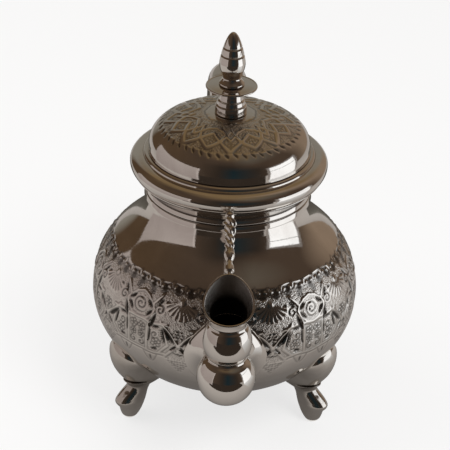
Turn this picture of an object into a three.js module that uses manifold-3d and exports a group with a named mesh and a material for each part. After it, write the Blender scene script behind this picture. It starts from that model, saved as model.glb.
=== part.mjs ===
// Moroccan teapot in plated metal: a round pot on three cast feet, a domed lid hinged at the back,
// a beaked spout with a bridge to the collar, and a looped handle.
// Millimetres, +Z up. Everything is drawn round the pot's own axis, with the spout towards -Y, and the whole
// is then moved so that the origin lies on the ground in the middle of the space it takes up.
import * as THREE from 'three';
import { mergeVertices } from 'three/addons/utils/BufferGeometryUtils.js';
import Module from 'manifold-3d';

const wasm = await Module();
wasm.setup();

// Clearances
const gap = 0.3; // between two pieces that touch, rest or are soldered
const overrun = 3; // how far a cutter passes the face that it cuts

// Belly, shoulder and neck of the pot
const belly = { radius: 75.9, centreHeight: 72, lowerDepth: 56.4, baseRadius: 20, wall: 1.2 };
const shoulder = { radius: 58.5, rise: 38.2 };
const neck = { radius: 45.4, rise: 59, step: 1.4 };
const crownShares = { firstRise: 0.55, secondRise: 0.8, secondRun: 0.51 };
const coveShares = { firstRun: 0.43, firstRise: 0.25, secondRun: 0.92, secondRise: 0.5 };

// Holes through the belly behind the spout
const strainer = { holeRadius: 1.5, rowPitch: 5.4, rows: 2, holesInFirstRow: 6 };

// Collar round the neck, which carries the lid
const collar = {
  height: 15.3, footStep: 0.3, flare: 6.6, wall: 1.3, ledgeWidth: 9, ledgeThickness: 1.4,
};
const collarFootShares = [[0, 0], [0.06, 0.1], [-0.12, 0.215], [0.05, 0.27], [0.05, 0.4], [-0.05, 0.457]];
const collarFlareShares = [[0.1, 0.5], [0.35, 0.66], [0.68, 0.83], [1, 0.96], [1, 1]];

// Lid: rolled flange, skirt below it and dome above it
const flange = { overhang: 2.7, bulge: 7, widestRise: 5.3, topRise: 10.2, wall: 1.2, beadRise: 12.1 };
const skirt = { clearance: 1.3, depth: 7.5, wall: 1.2 };
const dome = { inset: 2.7, rise: 22.2, roundness: 2.45, wall: 1.1 };

// Finial, from the dome up
const finialBase = { radius: 8.9, height: 14.7, topRadius: 5.9 };
const finialBaseShares = [
  [1, 0.03], [1, 0.31], [0.87, 0.35], [0.87, 0.5], [0.75, 0.54], [0.74, 0.72], [0.68, 0.78],
];
const finialFootShares = [1, 0.66, 0.33]; // radii at which its underside follows the dome
const guard = { radius: 14.2, thickness: 1.4, dish: 0.7, hubRadius: 7.4 };
const knob = { radius: 7.2, height: 30.4, grooveDepth: 0.35 };
const knobShares = [
  [0.98, 0], [0.98, 0.035], [0.8, 0.08], [0.7, 0.13], [0.74, 0.17], [0.8, 0.224], [0.93, 0.3], [0.98, 0.36],
];
const knobTipShares = { from: 0.43, roundness: 1.1 };
const knobTipSteps = 8;
const knobGrooveSteps = [2, 4]; // steps of the tip that are cut in as grooves
const stud = { radius: 1.6, engagement: 12, tail: 6.4 };
const nut = { acrossFlats: 7, height: 3 };
const washer = { radius: 5.5, thickness: 0.8 };

// Hinge behind the collar
const hinge = {
  barrelRadius: 2.2, pinRadius: 0.9, width: 18, lidKnuckle: 6, standoff: 5.9, plate: 1.3, leafRise: 7,
};
const leafBackShare = 0.8; // how far up the barrel the lid's leaf starts
const hingePinHead = { radius: 1.6, length: 0.8 };

// Spout: a flared root on the belly, then ball, bulb and beak on one upright axis
const spoutRoot = {
  width: 45.4, drop: 24, rise: 25, rimThickness: 1, trunkRadius: 11, boreRadius: 8.6, mouthRadius: 16,
};
const rootShares = { waist: 0.55, taper: 0.28, trunkPower: 2.4, borePower: 1.3 };
const rootOuterShares = [0, 0.08, 0.24, 0.42, 0.6, 0.8, 1];
const rootBoreShares = [1, 0.6, 0.25, 0];
const spoutBall = { radius: 15.8, reach: 26.8, rise: 5, wall: 1.3 };
const spoutBulb = { radius: 13, lowerDepth: 13, upperDepth: 17.5, wall: 1.3 };
const spoutGroove = { radius: 9.7 };
const beak = {
  height: 13.6, frontReach: 11, backReach: 10.4, frontDrop: 9.3, backRise: 9.4, halfWidth: 13.2, wall: 1.1,
};
const beakFlareShare = 1.5; // power of the trumpet curve
const beakEggShare = 0.2; // how much narrower the back of the mouth is than its front
const beakOuterShares = [0, 0.25, 0.5, 0.75, 1];
const beakInnerShares = [1, 0.7, 0.35, 0];
const pastMouthShare = 1.2; // how far its cutter runs on past the mouth

// Cast bridge from the collar's front to the back of the beak
const bridge = { topRise: 4, topStandoff: 4.4, radius: 3.2, sag: 1.6, seatShare: 0.9 };
const bridgeShares = [
  [0, 0.2], [0.03, 0.5], [0.07, 0.66], [0.11, 0.5], [0.15, 0.9], [0.19, 0.95], [0.23, 0.6], [0.27, 0.86],
  [0.31, 0.7], [0.35, 0.44], [0.4, 0.6], [0.45, 0.42], [0.5, 0.56], [0.55, 0.4], [0.6, 0.66], [0.66, 0.96],
  [0.72, 0.86], [0.78, 0.5], [0.83, 0.4], [0.88, 0.7], [0.94, 1], [1, 1],
];

// Handle: centre line as runs past the belly and rises over its centre
const handle = {
  startReach: 11.1, startDrop: 5, crownReach: 50.6, crownRise: 23, backReach: 46, endReach: 8.1, endDrop: 1.5,
  width: 24, outerDepth: 13, innerDepth: 7.5, endWidth: 13, endDepth: 5.5, swell: 0.5,
};
const handleShares = { rise: 0.32, shoulderRun: 0.6, shoulderRise: 0.86 };
const handleBackShares = [[0.76, 0.91], [1, 0.7], [0.95, 0.42], [0.62, 0.2]]; // out and up from its foot
const handleSteps = 24;
const socket = { length: 14 };
const socketShares = [1.04, 1.12, 1, 1.1, 1.35];

// Feet: knee on the belly, ankle, and a slipper with a raised toe
const foot = { topDrop: 20, setback: 27.3, span: 24.1, halfWidth: 12.3 };
const footShares = [
  { up: 0, out: 0.68, in: 0.391, wide: 0.29 },
  { up: 0.023, out: 0.718, in: 0.357, wide: 0.37 },
  { up: 0.066, out: 0.756, in: 0.289, wide: 0.45 },
  { up: 0.113, out: 0.782, in: 0.229, wide: 0.5 },
  { up: 0.151, out: 0.812, in: 0.193, wide: 0.53 },
  { up: 0.174, out: 0.866, in: 0.166, wide: 0.54 },
  { up: 0.211, out: 0.902, in: 0.132, wide: 0.54 },
  { up: 0.257, out: 0.854, in: 0.0999, wide: 0.51 },
  { up: 0.311, out: 0.746, in: 0.0722, wide: 0.48 },
  { up: 0.358, out: 0.638, in: 0.0289, wide: 0.46 },
  { up: 0.396, out: 0.578, in: -0.0241, wide: 0.47 },
  { up: 0.43, out: 0.608, in: -0.144, wide: 0.57 },
  { up: 0.47, out: 0.686, in: -0.361, wide: 0.67 },
  { up: 0.49, out: 0.674, in: -0.433, wide: 0.68 },
  { up: 0.53, out: 0.734, in: -0.517, wide: 0.75 },
  { up: 0.6, out: 0.842, in: -0.481, wide: 0.85 },
  { up: 0.68, out: 0.933, in: -0.241, wide: 0.94 },
  { up: 0.76, out: 0.987, in: 0.0602, wide: 1 },
  { up: 0.83, out: 0.999, in: 0.301, wide: 0.98 },
  { up: 0.9, out: 0.975, in: 0.505, wide: 0.86 },
  { up: 0.955, out: 0.933, in: 0.602, wide: 0.6 },
  { up: 1, out: 0.866, in: 0.722, wide: 0.14 },
];

// Facets
const sides = {
  body: 40, ring: 38, finial: 16, spout: 20, foot: 12, handle: 14, bridge: 8, hole: 6, hinge: 10,
};

// Heights and radii that follow from the sizes above
const shoulderHeight = belly.centreHeight + shoulder.rise;
const neckHeight = belly.centreHeight + neck.rise;
const spigotRadius = neck.radius - neck.step;
const collarFootRadius = neck.radius + collar.footStep;
const collarRimRadius = collarFootRadius + collar.flare;
const flangeRadius = collarRimRadius + flange.overhang;
const grooveRadius = flangeRadius - flange.bulge;
const domeRadius = grooveRadius - dome.inset;
const footHeight = belly.centreHeight - foot.topDrop;
const collarBase = neckHeight + gap;
const collarTop = collarBase + collar.height;
const ledgeRadius = collarRimRadius - collar.ledgeWidth;
const spigotTop = collarTop - collar.ledgeThickness - gap;
const lidBase = collarTop + gap;
const domeBase = lidBase + flange.beadRise + gap;
const domeTop = domeBase + dome.rise;
const finialBaseBottom = domeTop + gap;
const guardBottom = finialBaseBottom + finialBase.height + gap;
const knobBottom = guardBottom + guard.thickness + gap;
const hingeAt = { radius: collarRimRadius + hinge.standoff, height: collarTop + gap / 2 };
const spoutAt = { radius: belly.radius + spoutBall.reach, height: belly.centreHeight + spoutBall.rise };

// A ring of points on an ellipse arc, as radius and height
function arc(centreRadius, centreHeight, across, up, from, to, steps) {
  const points = [];
  for (let i = 0; i <= steps; i += 1) {
    const angle = THREE.MathUtils.lerp(from, to, i / steps);
    const out = across * Math.cos(angle);
    points.push(new THREE.Vector2(centreRadius + out, centreHeight + up * Math.sin(angle)));
  }
  return points;
}

// An outline moved along its own normals: to the left of its run for a distance above zero
function offset(points, distance) {
  return points.map((point, i) => {
    const before = points[Math.max(i - 1, 0)];
    const after = points[Math.min(i + 1, points.length - 1)];
    const run = after.clone().sub(before).normalize();
    const moved = new THREE.Vector2(point.x - run.y * distance, point.y + run.x * distance);
    moved.x = Math.max(moved.x, 0);
    return moved;
  });
}

// A solid turned about the Z axis
function turned(points, count) {
  return new THREE.LatheGeometry(points, count).rotateX(Math.PI / 2);
}

// Rings of points joined into one closed skin, capped at both ends or joined last to first
function loft(rings, loop = false) {
  const count = rings[0].length;
  const positions = [];
  const index = [];
  for (const ring of rings) {
    for (const point of ring) {
      positions.push(point.x, point.y, point.z);
    }
  }
  const spans = loop ? rings.length : rings.length - 1;
  for (let k = 0; k < spans; k += 1) {
    const here = k * count;
    const next = ((k + 1) % rings.length) * count;
    for (let i = 0; i < count; i += 1) {
      const j = (i + 1) % count;
      index.push(here + i, here + j, next + i);
      index.push(here + j, next + j, next + i);
    }
  }
  if (!loop) {
    const ends = [0, rings.length - 1];
    for (const k of ends) {
      const centre = new THREE.Vector3();
      rings[k].forEach((point) => centre.add(point));
      centre.divideScalar(count);
      const hub = positions.length / 3;
      positions.push(centre.x, centre.y, centre.z);
      for (let i = 0; i < count; i += 1) {
        const a = k * count + i;
        const b = k * count + ((i + 1) % count);
        index.push(hub, k === 0 ? b : a, k === 0 ? a : b);
      }
    }
  }
  const geometry = new THREE.BufferGeometry();
  geometry.setAttribute('position', new THREE.Float32BufferAttribute(positions, 3));
  geometry.setIndex(index);
  return geometry;
}

// Solids for joins and cuts
function toSolid(geometry) {
  const bare = geometry.clone();
  bare.deleteAttribute('normal');
  bare.deleteAttribute('uv');
  const merged = mergeVertices(bare);
  const source = merged.index.array;
  const triangles = [];
  for (let i = 0; i < source.length; i += 3) {
    const [a, b, c] = source.slice(i, i + 3);
    if (a !== b && b !== c && c !== a) {
      triangles.push(a, b, c);
    }
  }
  return new wasm.Manifold(new wasm.Mesh({
    numProp: 3,
    vertProperties: Float32Array.from(merged.attributes.position.array),
    triVerts: Uint32Array.from(triangles),
  }));
}

function toGeometry(solid) {
  const mesh = solid.getMesh();
  const geometry = new THREE.BufferGeometry();
  geometry.setAttribute('position', new THREE.BufferAttribute(Float32Array.from(mesh.vertProperties), 3));
  geometry.setIndex(new THREE.BufferAttribute(Uint32Array.from(mesh.triVerts), 1));
  return geometry;
}

function cut(geometry, ...tools) {
  return toGeometry(tools.reduce((solid, tool) => solid.subtract(toSolid(tool)), toSolid(geometry)));
}

function join(first, ...others) {
  return toGeometry(others.reduce((solid, other) => solid.add(toSolid(other)), toSolid(first)));
}

// Outline of the pot's outside, from the middle of the base to the neck
function bodyOutline(lowerSteps, crownSteps, coveSteps) {
  const baseAngle = -Math.acos(belly.baseRadius / belly.radius);
  const lower = arc(0, belly.centreHeight, belly.radius, belly.lowerDepth, baseAngle, 0, lowerSteps);
  const crownRun = belly.radius - shoulder.radius;
  const crown = new THREE.CubicBezierCurve(
    new THREE.Vector2(belly.radius, belly.centreHeight),
    new THREE.Vector2(belly.radius, belly.centreHeight + shoulder.rise * crownShares.firstRise),
    new THREE.Vector2(
      shoulder.radius + crownRun * crownShares.secondRun,
      belly.centreHeight + shoulder.rise * crownShares.secondRise,
    ),
    new THREE.Vector2(shoulder.radius, shoulderHeight),
  );
  const coveRun = shoulder.radius - neck.radius;
  const coveRise = neckHeight - shoulderHeight;
  const cove = new THREE.CubicBezierCurve(
    new THREE.Vector2(shoulder.radius, shoulderHeight),
    new THREE.Vector2(
      shoulder.radius - coveRun * coveShares.firstRun,
      shoulderHeight + coveRise * coveShares.firstRise,
    ),
    new THREE.Vector2(
      shoulder.radius - coveRun * coveShares.secondRun,
      shoulderHeight + coveRise * coveShares.secondRise,
    ),
    new THREE.Vector2(neck.radius, neckHeight),
  );
  return [
    new THREE.Vector2(0, lower[0].y),
    ...lower,
    ...crown.getPoints(crownSteps).slice(1),
    ...cove.getPoints(coveSteps).slice(1),
  ];
}

const fineBody = bodyOutline(24, 14, 12);

// Outer radius of the pot at a height, read from its outline
function bodyRadiusAt(height) {
  for (let i = 1; i < fineBody.length; i += 1) {
    const low = fineBody[i - 1];
    const high = fineBody[i];
    if (height <= high.y && high.y > low.y) {
      return THREE.MathUtils.mapLinear(Math.max(height, low.y), low.y, high.y, low.x, high.x);
    }
  }
  return neck.radius;
}

// The pot as one full solid, larger all round by the clearance, which cuts what seats on it
function bodyCutter() {
  const outside = offset(bodyOutline(18, 9, 7), -gap);
  const top = outside[outside.length - 1];
  return turned([...outside, new THREE.Vector2(0, top.y)], sides.body);
}

function bodyShell() {
  const outside = bodyOutline(8, 5, 4);
  const inside = offset(bodyOutline(4, 4, 2), belly.wall);
  const points = [
    ...outside,
    new THREE.Vector2(spigotRadius, neckHeight),
    new THREE.Vector2(spigotRadius, spigotTop),
    new THREE.Vector2(spigotRadius - belly.wall, spigotTop),
    new THREE.Vector2(spigotRadius - belly.wall, neckHeight),
    ...inside.slice(0, -1).reverse(),
  ];
  const holes = [strainerHole(0, 0)];
  for (let row = 1; row <= strainer.rows; row += 1) {
    const count = row * strainer.holesInFirstRow;
    for (let i = 0; i < count; i += 1) {
      const angle = (i / count) * Math.PI * 2;
      const reach = row * strainer.rowPitch;
      holes.push(strainerHole(reach * Math.cos(angle), reach * Math.sin(angle)));
    }
  }
  return cut(turned(points, sides.body), ...holes);
}

function strainerHole(across, up) {
  const height = belly.centreHeight + up;
  const radius = bodyRadiusAt(height);
  const depth = (radius - Math.sqrt(radius ** 2 - across ** 2)) + belly.wall + overrun;
  const { holeRadius } = strainer;
  const hole = new THREE.CylinderGeometry(holeRadius, holeRadius, depth + overrun, sides.hole);
  return hole.translate(across, (depth - overrun) / 2 - radius, height);
}

// Collar: grooved foot, flare and a ledge on which the lid rests
function collarPoints(shares) {
  const flare = collarRimRadius - collarFootRadius;
  return shares.map(([out, up]) => new THREE.Vector2(
    collarFootRadius + flare * out,
    collarBase + collar.height * up,
  ));
}

function neckCollar() {
  const outside = collarPoints([...collarFootShares, ...collarFlareShares]);
  const sleeveRadius = spigotRadius + gap;
  const ledgeBottom = collarTop - collar.ledgeThickness;
  const inside = offset(collarPoints(collarFlareShares), collar.wall)
    .filter((point) => point.x > sleeveRadius && point.y < ledgeBottom);
  return turned([
    ...outside,
    new THREE.Vector2(ledgeRadius, collarTop),
    new THREE.Vector2(ledgeRadius, ledgeBottom),
    new THREE.Vector2(inside[inside.length - 1].x, ledgeBottom),
    ...inside.reverse(),
    new THREE.Vector2(sleeveRadius, inside[inside.length - 1].y - gap),
    new THREE.Vector2(sleeveRadius, collarBase),
    outside[0].clone(),
  ], sides.ring);
}

function collarCutter() {
  const outside = offset(collarPoints([...collarFootShares, ...collarFlareShares]), -gap);
  const top = collarTop + gap;
  return turned([
    new THREE.Vector2(0, collarBase - gap),
    ...outside,
    new THREE.Vector2(collarRimRadius + gap, top),
    new THREE.Vector2(0, top),
  ], sides.ring);
}

// Lid flange: rolled rim, a groove and a bead that carries the dome
function flangeOutside(lowerSteps, upperSteps) {
  const { bulge } = flange;
  const turn = Math.acos((collarRimRadius - grooveRadius) / bulge);
  const widest = lidBase + flange.widestRise;
  const drop = flange.widestRise / Math.sin(turn);
  const topRise = flange.topRise - flange.widestRise;
  return [
    ...arc(grooveRadius, widest, bulge, drop, -turn, 0, lowerSteps),
    ...arc(grooveRadius, widest, bulge, topRise, 0, Math.PI / 2, upperSteps).slice(1),
  ];
}

function lidFlange() {
  const rim = flangeOutside(3, 4);
  const under = offset(flangeOutside(2, 2), flange.wall);
  const groove = rim[rim.length - 1];
  const beadTop = lidBase + flange.beadRise;
  const beadRadius = domeRadius + gap;
  const beadRise = beadTop - groove.y;
  const beadStart = Math.PI / 12;
  const ledge = domeRadius - dome.wall - gap;
  under[0].y = lidBase;
  return turned([
    ...rim,
    new THREE.Vector2(groove.x - gap, groove.y - gap),
    ...arc(beadRadius, groove.y, groove.x - gap - beadRadius, beadRise, beadStart, Math.PI / 2, 3),
    new THREE.Vector2(ledge, beadTop),
    new THREE.Vector2(ledge, beadTop - flange.wall),
    ...under.reverse(),
    rim[0].clone(),
  ], sides.ring);
}

function flangeCutter() {
  const rim = offset(flangeOutside(4, 4), -gap);
  return turned([
    new THREE.Vector2(0, lidBase - gap),
    new THREE.Vector2(rim[0].x, lidBase - gap),
    ...rim,
    new THREE.Vector2(0, rim[rim.length - 1].y),
  ], sides.ring);
}

// Skirt that drops into the neck, with the plate that rests on the collar's ledge
function lidSkirt() {
  const outer = ledgeRadius - skirt.clearance;
  const plateRadius = collarRimRadius - flange.wall - 2 * gap;
  const plateTop = lidBase + skirt.wall;
  const bottom = lidBase - skirt.depth;
  return turned([
    new THREE.Vector2(outer - skirt.wall, bottom),
    new THREE.Vector2(outer, bottom),
    new THREE.Vector2(outer, lidBase),
    new THREE.Vector2(plateRadius, lidBase),
    new THREE.Vector2(plateRadius, plateTop),
    new THREE.Vector2(outer - skirt.wall, plateTop),
    new THREE.Vector2(outer - skirt.wall, bottom),
  ], sides.ring);
}

// Height of the dome over its base at a radius, a rounded quarter curve
function domeHeightAt(radius, inset = 0) {
  const share = Math.min(radius / (domeRadius - inset), 1);
  return (dome.rise - inset) * (1 - share ** dome.roundness) ** (1 / dome.roundness);
}

function domeOutline(inset, steps, innerRadius) {
  const points = [];
  for (let i = 0; i <= steps; i += 1) {
    const angle = (i / steps) * (Math.PI / 2);
    const radius = Math.max((domeRadius - inset) * Math.cos(angle), innerRadius);
    points.push(new THREE.Vector2(radius, domeBase + domeHeightAt(radius, inset)));
  }
  return points;
}

function lidDome() {
  const bore = stud.radius + gap;
  const outside = domeOutline(0, 9, bore);
  const inside = domeOutline(dome.wall, 5, bore);
  return turned([...outside, ...inside.reverse(), outside[0].clone()], sides.ring);
}

// Finial: stepped base, heat guard and bullet knob on one stud
function finialBaseSolid() {
  const bore = stud.radius + gap;
  const underside = finialFootShares.map((stepShare) => {
    const radius = finialBase.radius * stepShare;
    return new THREE.Vector2(radius, domeBase + domeHeightAt(radius) + gap);
  });
  return turned([
    new THREE.Vector2(bore, finialBaseBottom),
    ...underside.reverse(),
    ...finialBaseShares.map(([out, up]) => new THREE.Vector2(
      finialBase.radius * out,
      finialBaseBottom + finialBase.height * up,
    )),
    new THREE.Vector2(finialBase.topRadius, finialBaseBottom + finialBase.height),
    new THREE.Vector2(bore, finialBaseBottom + finialBase.height),
    new THREE.Vector2(bore, finialBaseBottom),
  ], sides.finial);
}

function heatGuard() {
  const bore = stud.radius + gap;
  const top = guardBottom + guard.thickness;
  return turned([
    new THREE.Vector2(bore, guardBottom),
    new THREE.Vector2(finialBase.topRadius, guardBottom),
    new THREE.Vector2(guard.radius - guard.dish, top - guard.thickness / 2),
    new THREE.Vector2(guard.radius, top + guard.dish / 2),
    new THREE.Vector2(guard.radius - guard.dish, top + guard.dish / 2),
    new THREE.Vector2(guard.hubRadius, top),
    new THREE.Vector2(bore, top),
    new THREE.Vector2(bore, guardBottom),
  ], sides.finial);
}

function finialKnob() {
  const bore = stud.radius + gap;
  const boreTop = knobBottom + stud.engagement + gap;
  const lower = knobShares.map(([out, up]) => new THREE.Vector2(
    knob.radius * out,
    knobBottom + knob.height * up,
  ));
  const upper = [];
  for (let i = 0; i <= knobTipSteps; i += 1) {
    const along = i / knobTipSteps;
    const radius = knob.radius * Math.sqrt(1 - along ** knobTipShares.roundness);
    upper.push(new THREE.Vector2(
      Math.max(radius - (knobGrooveSteps.includes(i) ? knob.grooveDepth : 0), 0),
      knobBottom + knob.height * THREE.MathUtils.lerp(knobTipShares.from, 1, along),
    ));
  }
  return turned([
    new THREE.Vector2(0, boreTop),
    new THREE.Vector2(bore, boreTop),
    new THREE.Vector2(bore, knobBottom),
    ...lower,
    ...upper,
  ], sides.finial);
}

function studBottom() {
  return domeTop - dome.wall - stud.tail;
}

function finialStud() {
  const bottom = studBottom();
  const length = knobBottom + stud.engagement - bottom;
  const rod = new THREE.CylinderGeometry(stud.radius, stud.radius, length, sides.hinge);
  return rod.rotateX(Math.PI / 2).translate(0, 0, bottom + length / 2);
}

function ringWasher() {
  const bore = stud.radius + gap;
  const bottom = domeTop - dome.wall - gap - washer.thickness;
  return turned([
    new THREE.Vector2(bore, bottom),
    new THREE.Vector2(washer.radius, bottom),
    new THREE.Vector2(washer.radius, bottom + washer.thickness),
    new THREE.Vector2(bore, bottom + washer.thickness),
    new THREE.Vector2(bore, bottom),
  ], sides.finial);
}

function hexNut() {
  const top = domeTop - dome.wall - 2 * gap - washer.thickness;
  const corner = nut.acrossFlats / 2 / Math.cos(Math.PI / 6);
  const blank = new THREE.CylinderGeometry(corner, corner, nut.height, 6);
  const boreRadius = stud.radius + gap;
  const bore = new THREE.CylinderGeometry(boreRadius, boreRadius, nut.height + overrun, sides.hinge);
  return cut(blank, bore).rotateX(Math.PI / 2).translate(0, 0, top - nut.height / 2);
}

// Hinge: two knuckles on a bracket behind the collar, one on a leaf behind the lid's flange
function knuckle(length, at) {
  const barrel = new THREE.CylinderGeometry(hinge.barrelRadius, hinge.barrelRadius, length, sides.hinge);
  return barrel.rotateZ(Math.PI / 2).translate(at, hingeAt.radius, hingeAt.height);
}

function hingeBore() {
  const radius = hinge.pinRadius + gap;
  const bore = new THREE.CylinderGeometry(radius, radius, hinge.width + overrun, sides.hinge);
  return bore.rotateZ(Math.PI / 2).translate(0, hingeAt.radius, hingeAt.height);
}

// A flat-sided plate in the YZ plane, as thick as its width along X
function sidePlate(points, width, at) {
  const shape = new THREE.Shape(points.map(([y, z]) => new THREE.Vector2(y, z)));
  const plate = new THREE.ExtrudeGeometry(shape, { depth: width, bevelEnabled: false });
  plate.rotateY(Math.PI / 2).rotateX(Math.PI / 2);
  return plate.translate(at - width / 2, 0, 0);
}

function hingeBracket() {
  const sideLength = (hinge.width - hinge.lidKnuckle) / 2 - gap;
  const sideAt = (hinge.lidKnuckle + sideLength) / 2 + gap;
  const inner = collarFootRadius - overrun;
  const outer = hingeAt.radius;
  const bottom = hingeAt.height - hinge.barrelRadius - hinge.plate - hinge.leafRise / 2;
  const web = hingeAt.height - hinge.barrelRadius - gap;
  const saddle = sidePlate([
    [inner, bottom], [outer - hinge.barrelRadius - hinge.plate, bottom], [outer, web - hinge.plate],
    [outer, web], [inner, web],
  ], hinge.width, 0);
  const arms = [-sideAt, sideAt].map((at) => sidePlate([
    [outer - hinge.barrelRadius, web - hinge.plate], [outer + hinge.plate / 2, web - hinge.plate],
    [outer + hinge.barrelRadius, hingeAt.height], [outer - hinge.barrelRadius, hingeAt.height],
  ], sideLength, at));
  const knuckles = [-sideAt, sideAt].map((at) => knuckle(sideLength, at));
  return cut(join(saddle, ...arms, ...knuckles), hingeBore(), collarCutter(), flangeCutter());
}

function hingeLeaf() {
  const inner = grooveRadius;
  const face = flangeRadius + gap + hinge.plate;
  const top = lidBase + hinge.leafRise;
  const plate = sidePlate([
    [inner, hingeAt.height + hinge.barrelRadius / 2], [hingeAt.radius, hingeAt.height],
    [hingeAt.radius + hinge.barrelRadius / 2, hingeAt.height + hinge.barrelRadius * leafBackShare],
    [face, top - hinge.plate], [face - hinge.plate, top], [inner, top],
  ], hinge.lidKnuckle, 0);
  return cut(join(plate, knuckle(hinge.lidKnuckle, 0)), hingeBore(), flangeCutter(), collarCutter());
}

function hingePin() {
  const { pinRadius, width } = hinge;
  const shank = new THREE.CylinderGeometry(pinRadius, pinRadius, width + 2 * gap, sides.hinge);
  const heads = [-1, 1].map((side) => {
    const head = new THREE.CylinderGeometry(
      hingePinHead.radius, hingePinHead.radius, hingePinHead.length, sides.hinge,
    );
    return head.translate(0, side * (width / 2 + gap + hingePinHead.length / 2), 0);
  });
  return join(shank, ...heads).rotateZ(Math.PI / 2).translate(0, hingeAt.radius, hingeAt.height);
}

// Spout root: a pear outline on the belly that draws in to a short trunk
function rootOutline(angle) {
  const up = Math.sin(angle);
  const half = (spoutRoot.width / 2) * Math.cos(angle);
  if (up < 0) {
    return { across: half, up: spoutRoot.drop * up };
  }
  return {
    across: half * (1 - rootShares.taper * up),
    up: spoutRoot.rise * up * (1 - rootShares.waist * up ** 2 * (1 - up)),
  };
}

// Where a ring of the root or its bore sits: on the pot for a share of 0, at the ball for a share of 1
function rootRing(share, from, trunkRadius, seat, power) {
  const end = spoutAt.radius - spoutBall.radius + spoutBall.wall + overrun;
  const centre = THREE.MathUtils.lerp(belly.centreHeight, spoutAt.height, share);
  return circleAngles(sides.spout).map((angle) => {
    const start = from(angle);
    const across = THREE.MathUtils.lerp(start.across, trunkRadius * Math.cos(angle), share);
    const height = centre + THREE.MathUtils.lerp(start.up, trunkRadius * Math.sin(angle), share);
    const surface = Math.sqrt(Math.max(bodyRadiusAt(height) ** 2 - across ** 2, 0));
    return new THREE.Vector3(across, -THREE.MathUtils.lerp(surface + seat, end, share ** power), height);
  });
}

function spoutRootSolid() {
  const mouth = (angle) => ({
    across: spoutRoot.mouthRadius * Math.cos(angle),
    up: spoutRoot.mouthRadius * Math.sin(angle),
  });
  const { trunkRadius, boreRadius, rimThickness } = spoutRoot;
  const { trunkPower, borePower } = rootShares;
  const rings = [
    rootRing(0, rootOutline, trunkRadius, -belly.wall, 1),
    ...rootOuterShares.map((share) => rootRing(share, rootOutline, trunkRadius, rimThickness, trunkPower)),
    ...rootBoreShares.map((share) => rootRing(share, mouth, boreRadius, -belly.wall, borePower)),
  ];
  const ball = new THREE.SphereGeometry(spoutBall.radius + gap, sides.spout, sides.spout / 2);
  return cut(loft(rings, true), bodyCutter(), onSpout(ball.translate(0, 0, spoutAt.height)));
}

// Angles round a ring, so that the points run right-handed about the direction in which rings advance
function circleAngles(count) {
  return Array.from({ length: count }, (_, i) => (i / count) * Math.PI * 2);
}

function onSpout(geometry) {
  return geometry.translate(0, -spoutAt.radius, 0);
}

const ballTopRise = Math.sqrt(spoutBall.radius ** 2 - spoutGroove.radius ** 2);
const bulbFootDrop = spoutBulb.lowerDepth * Math.sqrt(1 - (spoutGroove.radius / spoutBulb.radius) ** 2);
const bulbTopRise = spoutBulb.upperDepth * Math.sqrt(1 - (spoutGroove.radius / spoutBulb.radius) ** 2);
const bulbCentre = spoutAt.height + ballTopRise + gap + bulbFootDrop;
const beakBase = bulbCentre + bulbTopRise + gap;

function spoutBallSolid() {
  const top = Math.atan2(ballTopRise, spoutGroove.radius);
  const innerRadius = spoutBall.radius - spoutBall.wall;
  const innerTop = Math.acos((spoutGroove.radius - spoutBall.wall) / innerRadius);
  const points = [
    ...arc(0, spoutAt.height, spoutBall.radius, spoutBall.radius, -Math.PI / 2, top, 10),
    ...arc(0, spoutAt.height, innerRadius, innerRadius, innerTop, -Math.PI / 2, 7),
  ];
  points[0].x = 0;
  points[points.length - 1].x = 0;
  const port = new THREE.CylinderGeometry(
    spoutRoot.boreRadius, spoutRoot.boreRadius, spoutBall.radius, sides.spout,
  );
  port.translate(0, spoutBall.radius, spoutAt.height);
  return onSpout(cut(turned(points, sides.spout), port));
}

function spoutBulbSolid() {
  const inner = spoutBulb.radius - spoutBulb.wall;
  const innerGroove = spoutGroove.radius - spoutBulb.wall;
  const outerEnd = Math.acos(spoutGroove.radius / spoutBulb.radius);
  const innerEnd = Math.acos(innerGroove / inner);
  const lowerInner = bulbFootDrop / Math.sin(innerEnd);
  const upperInner = bulbTopRise / Math.sin(innerEnd);
  return onSpout(turned([
    ...arc(0, bulbCentre, spoutBulb.radius, spoutBulb.lowerDepth, -outerEnd, 0, 4),
    ...arc(0, bulbCentre, spoutBulb.radius, spoutBulb.upperDepth, 0, outerEnd, 4).slice(1),
    ...arc(0, bulbCentre, inner, upperInner, innerEnd, 0, 3),
    ...arc(0, bulbCentre, inner, lowerInner, 0, -innerEnd, 3).slice(1),
    new THREE.Vector2(spoutGroove.radius, bulbCentre - bulbFootDrop),
  ], sides.spout));
}

// A point of the beak: angle 0 is at +X, a quarter turn is the back, by the pot
function beakPoint(angle, along, grow) {
  const back = Math.sin(angle);
  const side = Math.cos(angle);
  const base = spoutGroove.radius + grow;
  const reach = (back > 0 ? beak.backReach : beak.frontReach) + grow;
  const width = (beak.halfWidth + grow) * (1 - beakEggShare * back);
  const flare = along ** beakFlareShare;
  const rimHeight = beak.height + (back > 0 ? beak.backRise : beak.frontDrop) * back;
  return new THREE.Vector3(
    THREE.MathUtils.lerp(base, width, flare) * side,
    THREE.MathUtils.lerp(base, reach, flare) * back - spoutAt.radius,
    beakBase + rimHeight * along,
  );
}

function beakRing(along, grow) {
  return circleAngles(sides.spout).map((angle) => beakPoint(angle, along, grow));
}

function spoutBeak() {
  const outer = beakOuterShares.map((along) => beakRing(along, 0));
  const inner = beakInnerShares.map((along) => beakRing(along, -beak.wall));
  return loft([...outer, ...inner], true);
}

function beakCutter() {
  return loft([...beakOuterShares, pastMouthShare].map((along) => beakRing(along, gap)));
}

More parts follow.
